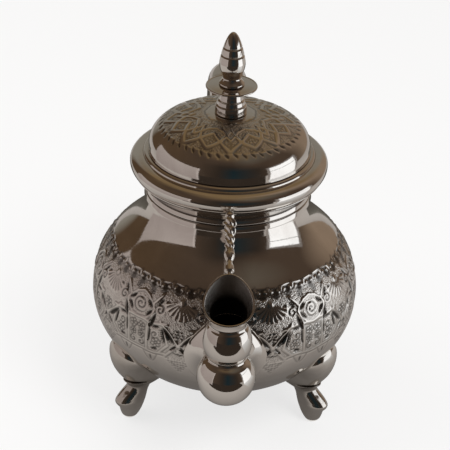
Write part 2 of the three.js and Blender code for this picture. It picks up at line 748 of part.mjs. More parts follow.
// Bridge: beads, a twisted shaft, a teardrop and a bell foot along a slightly sagging line
function bridgeSolid() {
  const top = new THREE.Vector3(0, -(collarRimRadius + bridge.topStandoff), collarTop + bridge.topRise);
  const seat = beakPoint(Math.PI / 2, bridge.seatShare, -beak.wall);
  const middle = top.clone().add(seat).divideScalar(2);
  middle.z -= bridge.sag;
  const line = new THREE.QuadraticBezierCurve3(top, middle, seat);
  const rings = bridgeShares.map(([along, wide]) => {
    const half = bridge.radius * wide;
    return ringAcross(line.getPoint(along), line.getTangent(along), half, half, half, sides.bridge);
  });
  return cut(loft(rings), collarCutter(), flangeCutter(), beakCutter());
}

// A ring of an egg-shaped section, square to a run in the YZ plane; ahead is to the right of the run
function ringAcross(centre, run, halfWidth, ahead, behind, count) {
  const across = new THREE.Vector3(1, 0, 0);
  const up = new THREE.Vector3().crossVectors(run, across).normalize();
  return circleAngles(count).map((angle) => {
    const side = Math.sin(angle);
    return centre.clone()
      .addScaledVector(across, Math.cos(angle) * halfWidth)
      .addScaledVector(up, side * (side > 0 ? ahead : behind));
  });
}

// Handle: from the neck up to its crown, down the back and in to the belly's widest part
const handleStart = new THREE.Vector3(0, neck.radius + handle.startReach, neckHeight - handle.startDrop);
const handleCrown = new THREE.Vector3(0, neck.radius + handle.crownReach, neckHeight + handle.crownRise);
const handleFoot = new THREE.Vector3(0, belly.radius + handle.endReach, belly.centreHeight - handle.endDrop);

const handleLine = new THREE.CatmullRomCurve3([
  handleStart,
  handleStart.clone().lerp(handleCrown, handleShares.rise),
  new THREE.Vector3(
    0,
    THREE.MathUtils.lerp(handleStart.y, handleCrown.y, handleShares.shoulderRun),
    THREE.MathUtils.lerp(handleStart.z, handleCrown.z, handleShares.shoulderRise),
  ),
  handleCrown,
  ...handleBackShares.map(([out, up]) => new THREE.Vector3(
    0,
    THREE.MathUtils.lerp(handleFoot.y, belly.radius + handle.backReach, out),
    THREE.MathUtils.lerp(handleFoot.z, handleCrown.z, up),
  )),
  handleFoot,
], false, 'centripetal');

function handleSolid() {
  const rings = [];
  for (let i = 0; i <= handleSteps; i += 1) {
    const along = i / handleSteps;
    const swell = Math.sin(Math.PI * along) ** handle.swell;
    rings.push(ringAcross(
      handleLine.getPointAt(along),
      handleLine.getTangentAt(along),
      THREE.MathUtils.lerp(handle.endWidth, handle.width, swell) / 2,
      THREE.MathUtils.lerp(handle.endDepth, handle.innerDepth, swell),
      THREE.MathUtils.lerp(handle.endDepth, handle.outerDepth, swell),
      sides.handle,
    ));
  }
  return loft(rings);
}

// Flared socket soldered to the pot, round in section where it meets the handle's end
function handleSocket(end) {
  const run = handleLine.getTangentAt(end).multiplyScalar(end === 0 ? -1 : 1);
  const start = handleLine.getPointAt(end).addScaledVector(run, gap);
  const rings = socketShares.map((flare, i) => ringAcross(
    start.clone().addScaledVector(run, (socket.length * i) / (socketShares.length - 1)),
    run,
    (handle.endWidth / 2) * flare,
    handle.endDepth * flare,
    handle.endDepth * flare,
    sides.handle,
  ));
  return cut(loft(rings), bodyCutter(), collarCutter());
}

// Foot, lofted in its own radial plane along +X, then turned to its place and seated on the belly
function footSolid(turn) {
  const base = belly.radius - foot.setback;
  const rings = footShares.map((section) => {
    const outer = base + foot.span * section.out;
    const inner = base + foot.span * section.in;
    const centre = (outer + inner) / 2;
    const reach = (outer - inner) / 2;
    return circleAngles(sides.foot).map((angle) => new THREE.Vector3(
      centre + reach * Math.cos(angle),
      foot.halfWidth * section.wide * Math.sin(angle),
      footHeight * section.up,
    ));
  });
  return cut(loft(rings).rotateZ(turn), bodyCutter());
}

// Assembly
function plated(shade, roughness) {
  return new THREE.MeshStandardMaterial({ color: new THREE.Color(shade), metalness: 1, roughness });
}

const group = new THREE.Group();
const pot = new THREE.Group();
const lid = new THREE.Group();
group.add(pot, lid);

function place(parent, name, geometry, shade = 0xb9b1a8, roughness = 0.16) {
  const mesh = new THREE.Mesh(geometry, plated(shade, roughness));
  mesh.name = name;
  parent.add(mesh);
}

place(pot, 'body_shell', bodyShell());
place(pot, 'neck_collar', neckCollar());
place(pot, 'hinge_bracket', hingeBracket());
place(pot, 'hinge_pin', hingePin(), 0x9a8f7f, 0.25);
place(pot, 'spout_root', spoutRootSolid());
place(pot, 'spout_ball', spoutBallSolid());
place(pot, 'spout_bulb', spoutBulbSolid());
place(pot, 'spout_beak', spoutBeak());
place(pot, 'spout_bridge', bridgeSolid());
place(pot, 'handle', handleSolid());
place(pot, 'handle_socket_upper', handleSocket(0));
place(pot, 'handle_socket_lower', handleSocket(1));

const footNames = ['foot_front_right', 'foot_rear', 'foot_front_left'];
footNames.forEach((name, i) => {
  const turn = -Math.PI / 2 + ((i + 1 / 2) / footNames.length) * Math.PI * 2;
  place(pot, name, footSolid(turn));
});

place(lid, 'lid_flange', lidFlange());
place(lid, 'lid_skirt', lidSkirt());
place(lid, 'lid_dome', lidDome());
place(lid, 'hinge_leaf', hingeLeaf());
place(lid, 'finial_base', finialBaseSolid());
place(lid, 'finial_guard', heatGuard());
place(lid, 'finial_knob', finialKnob());
place(lid, 'finial_stud', finialStud(), 0x9a8f7f, 0.3);
place(lid, 'finial_washer', ringWasher(), 0x9a8f7f, 0.3);
place(lid, 'finial_nut', hexNut(), 0x9a8f7f, 0.3);

// The origin goes to the middle of the whole teapot, on the ground
const extent = new THREE.Box3().setFromObject(group, true);
group.position.y = -(extent.min.y + extent.max.y) / 2;

export default group;
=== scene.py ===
import math

import bmesh
import bpy
import numpy as np
from mathutils import Matrix, Vector


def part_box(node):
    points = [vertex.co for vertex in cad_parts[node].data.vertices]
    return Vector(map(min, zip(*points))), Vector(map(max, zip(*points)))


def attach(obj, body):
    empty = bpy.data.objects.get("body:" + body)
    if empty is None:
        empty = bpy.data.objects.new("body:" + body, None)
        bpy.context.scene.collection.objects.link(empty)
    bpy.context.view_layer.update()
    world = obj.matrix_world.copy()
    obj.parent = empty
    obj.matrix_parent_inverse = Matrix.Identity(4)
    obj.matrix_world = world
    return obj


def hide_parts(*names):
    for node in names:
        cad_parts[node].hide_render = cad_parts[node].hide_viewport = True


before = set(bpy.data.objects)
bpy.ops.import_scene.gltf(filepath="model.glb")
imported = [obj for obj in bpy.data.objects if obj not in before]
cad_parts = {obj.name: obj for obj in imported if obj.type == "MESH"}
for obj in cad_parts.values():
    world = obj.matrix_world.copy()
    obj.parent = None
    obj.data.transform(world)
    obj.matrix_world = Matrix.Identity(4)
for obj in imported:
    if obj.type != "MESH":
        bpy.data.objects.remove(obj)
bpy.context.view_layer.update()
gap = 0.3

# The pieces are drawn in millimetres round the pot's own axis, which runs through the middle of the collar
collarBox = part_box("neck_collar")
axisY = (collarBox[0].y + collarBox[1].y) / 2


def toMetres(points):
    moved = np.asarray(points, dtype=float).reshape(-1, 3) * 0.001
    moved[:, 1] += axisY
    return moved


# Shared shape helpers
def arc(centreRadius, centreHeight, across, up, start, end, steps):
    angles = np.linspace(start, end, steps + 1)
    return np.stack([centreRadius + across * np.cos(angles), centreHeight + up * np.sin(angles)], 1)


def bezier(points, steps):
    a, b, c, d = [np.array(p, float) for p in points]
    t = np.linspace(0, 1, steps + 1)[:, None]
    return a * (1 - t) ** 3 + 3 * b * t * (1 - t) ** 2 + 3 * c * t ** 2 * (1 - t) + d * t ** 3


def offset(points, distance):
    points = np.asarray(points, float)
    run = np.gradient(points, axis=0)
    run /= np.linalg.norm(run, axis=1)[:, None]
    moved = points + np.stack([-run[:, 1], run[:, 0]], 1) * distance
    moved[:, 0] = np.maximum(moved[:, 0], 0)
    return moved


def smoothLine(points, steps):
    # a centripetal curve through the points
    points = np.array(points, float)
    padded = np.vstack([2 * points[0] - points[1], points, 2 * points[-1] - points[-2]])
    line = []
    for k in range(1, len(padded) - 2):
        p0, p1, p2, p3 = padded[k - 1:k + 3]
        d0, d1, d2 = [max(np.linalg.norm(b - a) ** 0.5, 1e-4) for a, b in ((p0, p1), (p1, p2), (p2, p3))]
        t1 = ((p1 - p0) / d0 - (p2 - p0) / (d0 + d1) + (p2 - p1) / d1) * d1
        t2 = ((p2 - p1) / d1 - (p3 - p1) / (d1 + d2) + (p3 - p2) / d2) * d1
        bend, twist = 3 * (p2 - p1) - 2 * t1 - t2, 2 * (p1 - p2) + t1 + t2
        for t in np.arange(steps) / steps:
            line.append(p1 + t1 * t + bend * t ** 2 + twist * t ** 3)
    line.append(points[-1])
    return np.array(line)


def evenly(line, count):
    # the same line in equal lengths
    lengths = np.r_[0, np.cumsum(np.linalg.norm(np.diff(line, axis=0), axis=1))]
    at = np.linspace(0, lengths[-1], count)
    return np.stack([np.interp(at, lengths, line[:, i]) for i in range(line.shape[1])], 1)


def rounded(points, radius, steps=4):
    # corners of an outline eased over a short length
    points = [np.array(p, float) for p in points]
    out = [points[0]]
    for before, here, after in zip(points, points[1:], points[2:]):
        a, b = before - here, after - here
        la, lb = np.linalg.norm(a), np.linalg.norm(b)
        reach = min(radius, la * 0.45, lb * 0.45)
        if la < 1e-6 or lb < 1e-6 or reach < 0.02 or np.dot(a, b) / (la * lb) < -0.97:
            out.append(here)
            continue
        first, last = here + a / la * reach, here + b / lb * reach
        for t in np.linspace(0, 1, steps + 1):
            out.append(first * (1 - t) ** 2 + 2 * here * t * (1 - t) + last * t ** 2)
    out.append(points[-1])
    return np.array(out)


def ringFaces(a, countA, b, countB):
    faces = []
    if countA == countB:
        for i in range(countA):
            j = (i + 1) % countA
            faces.append((a + i, a + j, b + j, b + i))
    elif countB == 1:
        faces = [(a + i, a + (i + 1) % countA, b) for i in range(countA)]
    elif countA == 1:
        faces = [(a, b + (i + 1) % countB, b + i) for i in range(countB)]
    elif countA > countB:
        k = countA // countB
        for i in range(countB):
            for j in range(k):
                faces.append((a + i * k + j, a + (i * k + j + 1) % countA, b + i))
            faces.append((a + (i * k + k) % countA, b + (i + 1) % countB, b + i))
    else:
        k = countB // countA
        for i in range(countA):
            faces.append((a + i, a + (i + 1) % countA, b + (i * k + k) % countB))
            for j in range(k):
                faces.append((a + i, b + (i * k + j + 1) % countB, b + i * k + j))
    return faces


def placed(name, data):
    item = bpy.data.objects.new(name, data)
    bpy.context.scene.collection.objects.link(item)
    return item


def finished(name, mesh, material, body, replaced=(), sharp=38):
    mesh.validate()
    mesh.shade_smooth()
    if sharp:
        mesh.set_sharp_from_angle(angle=math.radians(sharp))
    piece = placed(name, mesh)
    mesh.materials.clear()
    mesh.materials.append(material)
    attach(piece, body)
    if replaced:
        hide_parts(*replaced)
    return piece


def ringMesh(name, rings, loop=False):
    starts, verts, faces = [], [], []
    for ring in rings:
        starts.append(sum(len(v) for v in verts))
        verts.append(np.asarray(ring, float).reshape(-1, 3))
    pairs = list(zip(range(len(rings)), range(1, len(rings))))
    if loop:
        pairs.append((len(rings) - 1, 0))
    for a, b in pairs:
        faces += ringFaces(starts[a], len(verts[a]), starts[b], len(verts[b]))
    mesh = bpy.data.meshes.new(name)
    mesh.from_pydata(toMetres(np.vstack(verts)).tolist(), [], faces)
    return mesh


def circleAngles(count):
    return np.arange(count) / count * 2 * math.pi


def turnedRing(radius, height, count):
    if radius < 1e-6:
        return np.array([[0, 0, height]])
    angles = circleAngles(count)
    return np.stack([radius * np.cos(angles), radius * np.sin(angles), np.full(count, height)], 1)


def turnedMesh(name, outline, count=144, loop=False):
    return ringMesh(name, [turnedRing(r, z, count) for r, z in outline], loop)


def capped(rings):
    first, last = np.asarray(rings[0]), np.asarray(rings[-1])
    return [first.mean(0)[None], *rings, last.mean(0)[None]]


def facingOut(mesh):
    # turns a closed mesh the right way round
    work = bmesh.new()
    work.from_mesh(mesh)
    if work.calc_volume(signed=True) < 0:
        bmesh.ops.reverse_faces(work, faces=work.faces)
    work.to_mesh(mesh)
    work.free()
    return mesh


def drill(name, across, height, radius, ends, sides):
    # a round bar along the spout's direction, for cutting holes
    angles = circleAngles(sides)
    x, z = across + radius * np.cos(angles), height + radius * np.sin(angles)
    rings = [np.stack([x, np.full(sides, end), z], 1) for end in ends]
    return facingOut(ringMesh(name, capped(rings)))


def joined(name, meshes):
    work = bmesh.new()
    for mesh in meshes:
        work.from_mesh(mesh)
        bpy.data.meshes.remove(mesh)
    mesh = bpy.data.meshes.new(name)
    work.to_mesh(mesh)
    work.free()
    return mesh


# Metal finishes
def addNode(tree, kind, at, inputs=(), **settings):
    # an input is a plain value, or another node's output that is linked to it
    node = tree.nodes.new(kind)
    node.location = at
    for key, value in settings.items():
        setattr(node, key, value)
    for key, value in dict(inputs).items():
        if isinstance(value, bpy.types.NodeSocket):
            tree.links.new(value, node.inputs[key])
        else:
            node.inputs[key].default_value = value
    return node


def mathNode(tree, at, kind, *values, clamp=False):
    node = addNode(tree, "ShaderNodeMath", at, dict(enumerate(values)), operation=kind, use_clamp=clamp)
    return node.outputs[0]


def emptyTree(owner):
    owner.use_nodes = True
    owner.node_tree.nodes.clear()
    return owner.node_tree


def mixed(tree, at, share, first, second):
    # a mix of two colours; the sockets are given by number, because each kind of mix has an A and a B
    return addNode(tree, "ShaderNodeMix", at, {0: share, 6: first, 7: second}, data_type="RGBA").outputs[2]


plate = {"light": (0.80, 0.765, 0.72), "dull": (0.68, 0.64, 0.595), "rough": (0.03, 0.09), "pit": 0.02,
         "patinaAndShade": (0.045, 0.038, 0.032), "blur": 0.2}
finishes = {
    "silver": plate,
    # inside the beak the metal is painted near black with depth: painted shade
    "beakSilver": dict(plate, patinaAndShade=(0.02, 0.018, 0.016), blur=0.95),
    "chasedSilver": dict(plate, dull=(0.67, 0.63, 0.585), rough=(0.04, 0.12), pit=0.03,
                         patinaAndShade=(0.022, 0.017, 0.013)),
    "castSilver": dict(plate, light=(0.77, 0.735, 0.69), dull=(0.6, 0.56, 0.51), rough=(0.06, 0.17), pit=0.06,
                       patinaAndShade=(0.07, 0.055, 0.042)),
    "turnedBrass": {"light": (0.76, 0.60, 0.33), "dull": (0.52, 0.37, 0.18), "rough": (0.16, 0.32),
                    "pit": 0.05},
}
grain = {"smudges": 34.0, "grime": 160.0, "pits": 900.0, "strokes": 1250.0, "pitDepth": 0.0004,
         "strokeDepth": 0.00045, "strongestPatinaShade": 0.985}


def metalFinish(name, look):
    material = bpy.data.materials.new(name)
    tree = emptyTree(material)
    place = addNode(tree, "ShaderNodeTexCoord", (-900, 0)).outputs["Object"]

    def noise(at, scale, detail, roughness, distortion=0.0):
        inputs = {"Vector": place, "Scale": scale, "Detail": detail, "Roughness": roughness,
                  "Distortion": distortion}
        return addNode(tree, "ShaderNodeTexNoise", at, inputs).outputs["Fac"]

    smudge = noise((-600, 200), grain["smudges"], 5.0, 0.6, 0.6)
    grime = noise((-600, -60), grain["grime"], 4.0, 0.65)
    pits = noise((-600, -320), grain["pits"], 3.0, 0.6)
    strokes = noise((-100, -800), grain["strokes"], 2.0, 0.5)
    patch = addNode(tree, "ShaderNodeMapRange", (-350, 200),
                    {"Value": smudge, "From Min": 0.42, "From Max": 0.72})
    colour = mixed(tree, (-100, 200), patch.outputs[0], (*look["light"], 1), (*look["dull"], 1))
    smooth, coarse = look["rough"]
    rough = addNode(tree, "ShaderNodeMapRange", (-100, -60),
                    {"Value": grime, "From Min": 0.35, "From Max": 0.75, "To Min": smooth, "To Max": coarse})
    roughness = rough.outputs[0]
    if "patinaAndShade" in look:
        # darker and duller where the piece says that it is sunk in: patina and painted shade
        depth = addNode(tree, "ShaderNodeAttribute", (-350, -560), attribute_name="patinaAndShade").outputs["Fac"]
        patinaShadeShare = mathNode(tree, (-100, -560), "MULTIPLY", depth, grain["strongestPatinaShade"], clamp=True)
        colour = mixed(tree, (200, 200), patinaShadeShare, colour, (*look["patinaAndShade"], 1))
        roughness = mathNode(tree, (200, -200), "MULTIPLY_ADD", patinaShadeShare, look["blur"], roughness)
    bump = addNode(tree, "ShaderNodeBump", (300, -380),
                   {"Height": pits, "Strength": look["pit"], "Distance": grain["pitDepth"]})
    worked = addNode(tree, "ShaderNodeAttribute", (-100, -1000), attribute_name="worked").outputs["Fac"]
    inputs = {"Height": strokes, "Strength": worked, "Distance": grain["strokeDepth"],
              "Normal": bump.outputs[0]}
    fine = addNode(tree, "ShaderNodeBump", (450, -600), inputs).outputs[0]
    metal = addNode(tree, "ShaderNodeBsdfPrincipled", (600, 0),
                    {"Metallic": 1.0, "Base Color": colour, "Roughness": roughness, "Normal": fine})
    addNode(tree, "ShaderNodeOutputMaterial", (900, 0), {0: metal.outputs[0]})
    return material


silver = metalFinish("polished silver plate", finishes["silver"])
beakSilver = metalFinish("silver plate, dull with painted shade inside the beak", finishes["beakSilver"])
chasedSilver = metalFinish("chased silver plate", finishes["chasedSilver"])
castSilver = metalFinish("cast silver plate", finishes["castSilver"])
brass = metalFinish("turned brass", finishes["turnedBrass"])
print("finishes made")


# Body with its chased band
pot = {"radius": 75.9, "centre": 72.0, "lower": 56.4, "base": 20.0, "wall": 1.2,
       "shoulderRadius": 58.5, "shoulderRise": 38.2, "neckRadius": 45.4, "neckRise": 59.0, "neckStep": 1.4,
       "columns": 704, "innerColumns": 176, "bandLow": -19.0, "bandHigh": 38.0, "bandStep": 0.6}
neckHeight = pot["centre"] + pot["neckRise"]
shoulderHeight = pot["centre"] + pot["shoulderRise"]
collarBase = neckHeight + gap
collarTop = collarBase + 15.3
lidBase = collarTop + gap
spigotRadius = pot["neckRadius"] - pot["neckStep"]


def potOutline(lowerSteps, crownSteps, coveSteps):
    low = -math.acos(pot["base"] / pot["radius"])
    lower = arc(0, pot["centre"], pot["radius"], pot["lower"], low, 0, lowerSteps)
    run = pot["radius"] - pot["shoulderRadius"]
    rise = pot["shoulderRise"]
    crown = bezier([(pot["radius"], pot["centre"]), (pot["radius"], pot["centre"] + rise * 0.55),
                    (pot["shoulderRadius"] + run * 0.51, pot["centre"] + rise * 0.8),
                    (pot["shoulderRadius"], shoulderHeight)], crownSteps)
    coveRun = pot["shoulderRadius"] - pot["neckRadius"]
    coveRise = neckHeight - shoulderHeight
    cove = bezier([(pot["shoulderRadius"], shoulderHeight),
                   (pot["shoulderRadius"] - coveRun * 0.43, shoulderHeight + coveRise * 0.25),
                   (pot["shoulderRadius"] - coveRun * 0.92, shoulderHeight + coveRise * 0.5),
                   (pot["neckRadius"], neckHeight)], coveSteps)
    return lower, crown, cove


potLower, potCrown, potCove = potOutline(160, 120, 80)
potLine = np.vstack([potLower, potCrown[1:], potCove[1:]])
potArc = np.r_[0, np.cumsum(np.linalg.norm(np.diff(potLine, axis=0), axis=1))]
potArc -= potArc[len(potLower) - 1]  # lengths up the outline from the widest part


def potAt(lengths):
    return np.stack([np.interp(lengths, potArc, potLine[:, 0]), np.interp(lengths, potArc, potLine[:, 1])], 1)


def potNormalAt(lengths):
    run = potAt(lengths + 0.3) - potAt(lengths - 0.3)
    run /= np.linalg.norm(run, axis=1)[:, None]
    return np.stack([run[:, 1], -run[:, 0]], 1)


def potRadiusAt(height):
    return np.interp(height, potLine[:, 1], potLine[:, 0])


# Chased ornament: each function gives distances or heights in millimetres on the unrolled surface. Its shade
# layer darkens cuts, slits and punch marks: patina and painted shade
def below(value, edge, blur=0.18):
    return np.clip(0.5 - (value - edge) / (2 * blur), 0, 1)


def shareAlong(x, y, a, b):
    (ax, ay), (bx, by) = a, b
    return np.clip(((x - ax) * (bx - ax) + (y - ay) * (by - ay)) / ((bx - ax) ** 2 + (by - ay) ** 2), 0, 1)


def toSegment(x, y, a, b):
    (ax, ay), (bx, by) = a, b
    t = shareAlong(x, y, a, b)
    return np.hypot(x - ax - t * (bx - ax), y - ay - t * (by - ay))


def toPath(x, y, path):
    return np.min([toSegment(x, y, a, b) for a, b in zip(path, path[1:])], 0)


def toSlit(x, y, a, b, half):
    # a slit that narrows to both ends
    t = shareAlong(x, y, a, b)
    return toSegment(x, y, a, b) / (half * np.sqrt(np.clip(4.4 * t * (1 - t), 0.12, 1)))


def speckle(x, y, pitch, seed):
    # rounded punch marks, one in each cell of a shaken grid
    cellX, cellY = np.floor(x / pitch), np.floor(y / pitch)

    def shaken(alongX, alongY, spread):
        value = np.sin(cellX * alongX + cellY * alongY + seed) * spread
        return value - np.floor(value)

    fromX = x / pitch - cellX - 0.3 - 0.4 * shaken(127.1, 311.7, 43758.5453)
    fromY = y / pitch - cellY - 0.3 - 0.4 * shaken(269.5, 183.3, 24634.6345)
    return np.clip(1 - np.hypot(fromX, fromY) / 0.42, 0, 1)


def blank(x):
    # height, shade and punch marks of plain metal
    return [np.zeros(x.shape) for _ in range(3)]


def spiralLine(x, y, centre, pitch, radius, turn):
    dx, dy = x - centre[0], y - centre[1]
    r, angle = np.hypot(dx, dy), np.arctan2(dy, dx) + turn
    arm = r / pitch - angle / (2 * math.pi)
    return np.where(r < radius, np.abs(arm - np.round(arm)) * pitch, 9.0)


def blossom(x, y, centre, radius, petals, turn=0.0):
    # lines between petals and round a small eye
    dx, dy = x - centre[0], y - centre[1]
    r, angle = np.hypot(dx, dy), np.arctan2(dy, dx) + turn
    share = angle * petals / (2 * math.pi)
    between = np.abs(share - np.round(share)) * 2 * math.pi / petals * r
    edge = radius * (0.74 + 0.26 * np.abs(np.sin(angle * petals / 2)))
    line = np.minimum(np.where((r > radius * 0.3) & (r < edge), between, 9.0), np.abs(r - edge))
    return np.minimum(line, np.abs(r - radius * 0.26)), r < edge


def carve(work, distance, half, depth, shade, blur=0.2):
    share = below(distance, half, blur)
    work[0] = work[0] * (1 - share) - depth * share
    work[1] = np.maximum(work[1], shade * share)


def raiseWithin(work, share, height):
    work[0] = work[0] * (1 - share) + height * share
    work[1] = work[1] * (1 - share)
    work[2] = work[2] * (1 - share)


strapPaths = [
    [(0, 27.8), (4.2, 26.2), (10, 19.9), (4.6, 13.2), (0, 12.2)],
    [(10, 19.9), (6.6, 9), (6.2, -6)],
    [(0, 12.4), (19, 12.4)],
    [(14.5, 14), (25.8, 2.5)],
    [(16.9, 12.5), (19.7, 0.1), (14.2, -6)],
    [(25.8, 2.5), (20.9, -3.9), (17, -9)],
    [(8, 22.4), (13.5, 29)],
    [(0, -6.2), (18.5, -6.2)],
]
slits = [((4.6, 24.0), (8.0, 20.7), 0.75), ((8.0, 19.0), (5.0, 15.2), 0.75), ((10.6, 17.6), (8.2, 9.4), 0.95),
         ((16.4, 10.2), (23.4, 3.0), 0.95), ((15.6, 9.6), (18.0, 1.2), 0.6), ((8.0, 8.6), (7.7, 0.6), 0.6),
         ((12.0, 23.0), (14.6, 26.6), 0.55), ((9.6, 10.4), (14.0, 10.4), 0.55),
         ((21.8, -1.6), (24.6, 1.2), 0.6), ((9.4, -3.6), (13.2, -3.8), 0.6)]
# each scroll has a middle, a pitch, a reach and a turn, each blossom a middle, a reach, petals and a turn
cartoucheScroll = ((0, 20), 2.5, 4.9, 0.7)
cellScrolls = [((13.6, 20.4), 2.1, 3.4, 0.2), ((24.2, -1.8), 1.9, 2.6, 1.4), ((18.4, 24.6), 1.9, 2.4, 2.4),
               ((2.6, -2.6), 1.8, 2.4, 0.4), ((11.6, 5.6), 1.9, 2.5, 3.0)]
blossoms = [((12.6, 0.6), 3.2, 6, 0.2), ((2.6, 7.6), 2.6, 5, 0.0), ((2.8, 2.4), 2.2, 5, 0.6),
            ((25.8, 8.4), 3.4, 7, 0.0), ((19.9, 6.4), 1.7, 5, 0.3), ((5.6, 29.4), 1.7, 5, 0.0)]
chasing = {"ground": -0.34, "rounding": 0.2, "strapHalf": 1.35, "grooveAt": 0.95, "unit": 1.29, "repeat": 40,
           "fanX": 25.8, "fanY": 27.5, "fanReach": 11.2, "fanPetals": 9, "fanSpread": 1.3, "hub": 1.8,
           "waveAt": 31, "waveRise": 0.9, "waveLength": 8.6, "leafTurn": 0.72, "shadedGroundTop": 36.1,
           "lastStrap": -7.5, "triangleTip": -17.2, "tongueAt": 8.5, "tongueTip": -13.4}


def bellyWork(phi, v):
    # phi in degrees from the spout, v in millimetres up from the widest part
    unit = chasing["unit"]
    shake = 0.35 * np.sin(np.radians(phi) * 13 + 1.1) + 0.25 * np.sin(v * 0.21 + np.radians(phi) * 7)
    folded = (phi + chasing["repeat"] / 2) % chasing["repeat"] - chasing["repeat"] / 2
    side = np.where(folded < 0, -1, 1)
    x = np.abs(folded) * unit + shake * 0.5
    y = v + 0.35 * np.sin(np.radians(phi) * 19 + 0.4) + 0.2 * np.sin(np.radians(phi) * 31)
    marks = speckle(phi * unit, v, 1.35, 3.0)
    swell = 0.12 * np.sin(x * 1.9 + 0.8 * np.sin(v * 0.9)) * np.sin(y * 1.7 + 0.6 * np.sin(x * 1.1))
    work = [chasing["ground"] + swell - 0.14 * marks, 0.35 * marks, np.ones(x.shape)]
    # scroll in the cartouche, vines and blossoms in the cells
    scrolls = [spiralLine(x, y, *scroll) for scroll in cellScrolls]
    for line in (spiralLine(x * side, y, *cartoucheScroll), *scrolls):
        raiseWithin(work, below(line, 1.0, 0.3), -0.1)
        carve(work, line, 0.4, 0.75, 1.0)
    for centre, radius, petals, turn in blossoms:
        line, inside = blossom(x, y, centre, radius, petals, turn)
        raiseWithin(work, inside * 0.9, -0.06 - 0.16 * np.exp(-(line / 0.45) ** 2))
        carve(work, line, 0.32, 0.7, 1.0)
    # shell of long petals under a small hub, with painted shade between the petals
    dx, dy = x - chasing["fanX"], chasing["fanY"] - y
    r, angle = np.hypot(dx, dy), np.arctan2(dx, dy)
    share = angle / chasing["fanSpread"] * chasing["fanPetals"] / 2
    petal = 1 - (2 * (share - np.floor(share + 0.5))) ** 2
    reach = chasing["fanReach"] * (0.84 + 0.16 * petal)
    inFan = below(r, reach) * below(np.abs(angle), chasing["fanSpread"], 0.04)
    ridge = np.clip(petal, 0, 1) ** 0.7
    middle = below(np.abs(petal - 1), 0.04, 0.05)
    work[0] = work[0] * (1 - inFan) + inFan * (-0.75 + 0.75 * ridge - 0.3 * middle)
    shade = inFan * np.clip((0.62 - petal) / 0.4, 0, 1) * np.clip(r / 3 - 0.4, 0, 1)
    work[1] = work[1] * (1 - inFan) + shade
    work[2] = work[2] * (1 - inFan)
    raiseWithin(work, below(r, chasing["hub"]), 0.0)
    carve(work, np.abs(r - chasing["hub"] - 0.1), 0.22, 0.3, 0.8)
    # straps with a thin line along each edge, the lines painted dark: patina and painted shade
    strap = np.min([toPath(x, y, path) for path in strapPaths], 0)
    crown = np.clip(1 - strap / chasing["strapHalf"], 0, 1)
    raiseWithin(work, below(strap, chasing["strapHalf"]), -chasing["rounding"] * (1 - crown) ** 2)
    carve(work, np.abs(strap - chasing["grooveAt"]), 0.24, 0.45, 0.85)
    # slits painted near black: patina and painted shade
    for a, b, half in slits:
        carve(work, toSlit(x, y, a, b, half), 1.25, 1.0, 1.0, 0.25)
    # upper edge: a waved line and pairs of curled leaves over it, on a sunk ground with painted shade
    wave = y - chasing["waveAt"] - chasing["waveRise"] * np.cos(2 * math.pi * x / chasing["waveLength"])
    high = below(-wave, 0, 0.3)
    top = blank(x)
    halfWave = chasing["waveLength"] / 2
    curlX = np.abs((x + halfWave) % chasing["waveLength"] - halfWave)
    leafBase = chasing["waveAt"] + 1.0
    reach, lean = np.hypot(curlX, y - leafBase), np.arctan2(curlX, y - leafBase)
    lobe = lean / chasing["leafTurn"]
    between = np.abs(lobe - np.round(lobe + 0.5) + 0.5) * chasing["leafTurn"] * reach
    tipAt = 4.7 - 0.5 * np.round(lobe) ** 2 - 0.9 * np.abs(lobe - np.round(lobe))
    inLeaf = below(reach, tipAt, 0.25) * (lean < 1.75)
    # the ground between the leaves is painted dark: painted shade that sets the leaves off
    ground = below(y, chasing["shadedGroundTop"], 0.3)
    top[0] = -0.35 * ground
    top[1] = np.maximum(0.8 * ground, 0.9 * below(np.abs(reach - tipAt - 0.45), 0.3, 0.2) * (lean < 1.9))
    raiseWithin(top, inLeaf, 0.0)
    carve(top, np.where(reach > 0.9, between, 9.0) + (1 - inLeaf) * 9, 0.3, 0.5, 0.95)
    curl = spiralLine(curlX, y, (4.3, 34.0), 1.3, 1.5, 0.9)
    carve(top, curl, 0.26, 0.45, 0.9)
    carve(top, np.abs(wave), 0.36, 0.6, 1.0)
    carve(top, np.abs(wave - 1.15), 0.24, 0.45, 0.8)
    # lower edge: punched triangles and small leaves hang from the last strap
    low = below(y, chasing["lastStrap"], 0.3)
    foot = blank(x)
    reach = np.clip((y - chasing["triangleTip"]) / 9.6, 0, 1)
    triangle = below(np.abs(x - chasing["fanX"]), 8.0 * reach, 0.3) * (y > chasing["triangleTip"] + 0.2)
    dots = speckle(phi * unit, v, 1.7, 8.0) * triangle
    foot[0] = -0.5 * np.clip(dots * 1.6, 0, 1)
    foot[1] = 0.7 * np.clip(dots * 1.6, 0, 1)
    at = chasing["tongueAt"]
    tongue = np.abs(np.abs(x - at) - 4.6 * np.clip((y + 13.5) / 6, 0, 1) ** 0.6)
    carve(foot, np.where(y > chasing["tongueTip"], tongue, 9.0), 0.26, 0.4, 0.7)
    carve(foot, toSlit(x, y, (at, -12.4), (at, -8.6), 0.6), 1.0, 0.36, 0.8, 0.3)
    return np.stack([part * (1 - high) * (1 - low) + over * high + under * low
                     for part, over, under in zip(work, top, foot)])


def supersampled(make, xs, ys, fine=3):
    # values averaged over a finer grid, so that narrow cuts stay clean
    dx, dy = xs[1] - xs[0], ys[1] - ys[0]
    shifts = (np.arange(fine) - (fine - 1) / 2) / fine
    total = 0
    for sx in shifts:
        for sy in shifts:
            gx, gy = np.meshgrid(xs + sx * dx, ys + sy * dy)
            total = total + make(gx, gy)
    return total / fine ** 2


def storeValues(mesh, name, values):
    attribute = mesh.attributes.new(name, "FLOAT", "POINT")
    attribute.data.foreach_set("value", np.asarray(values, np.float32))


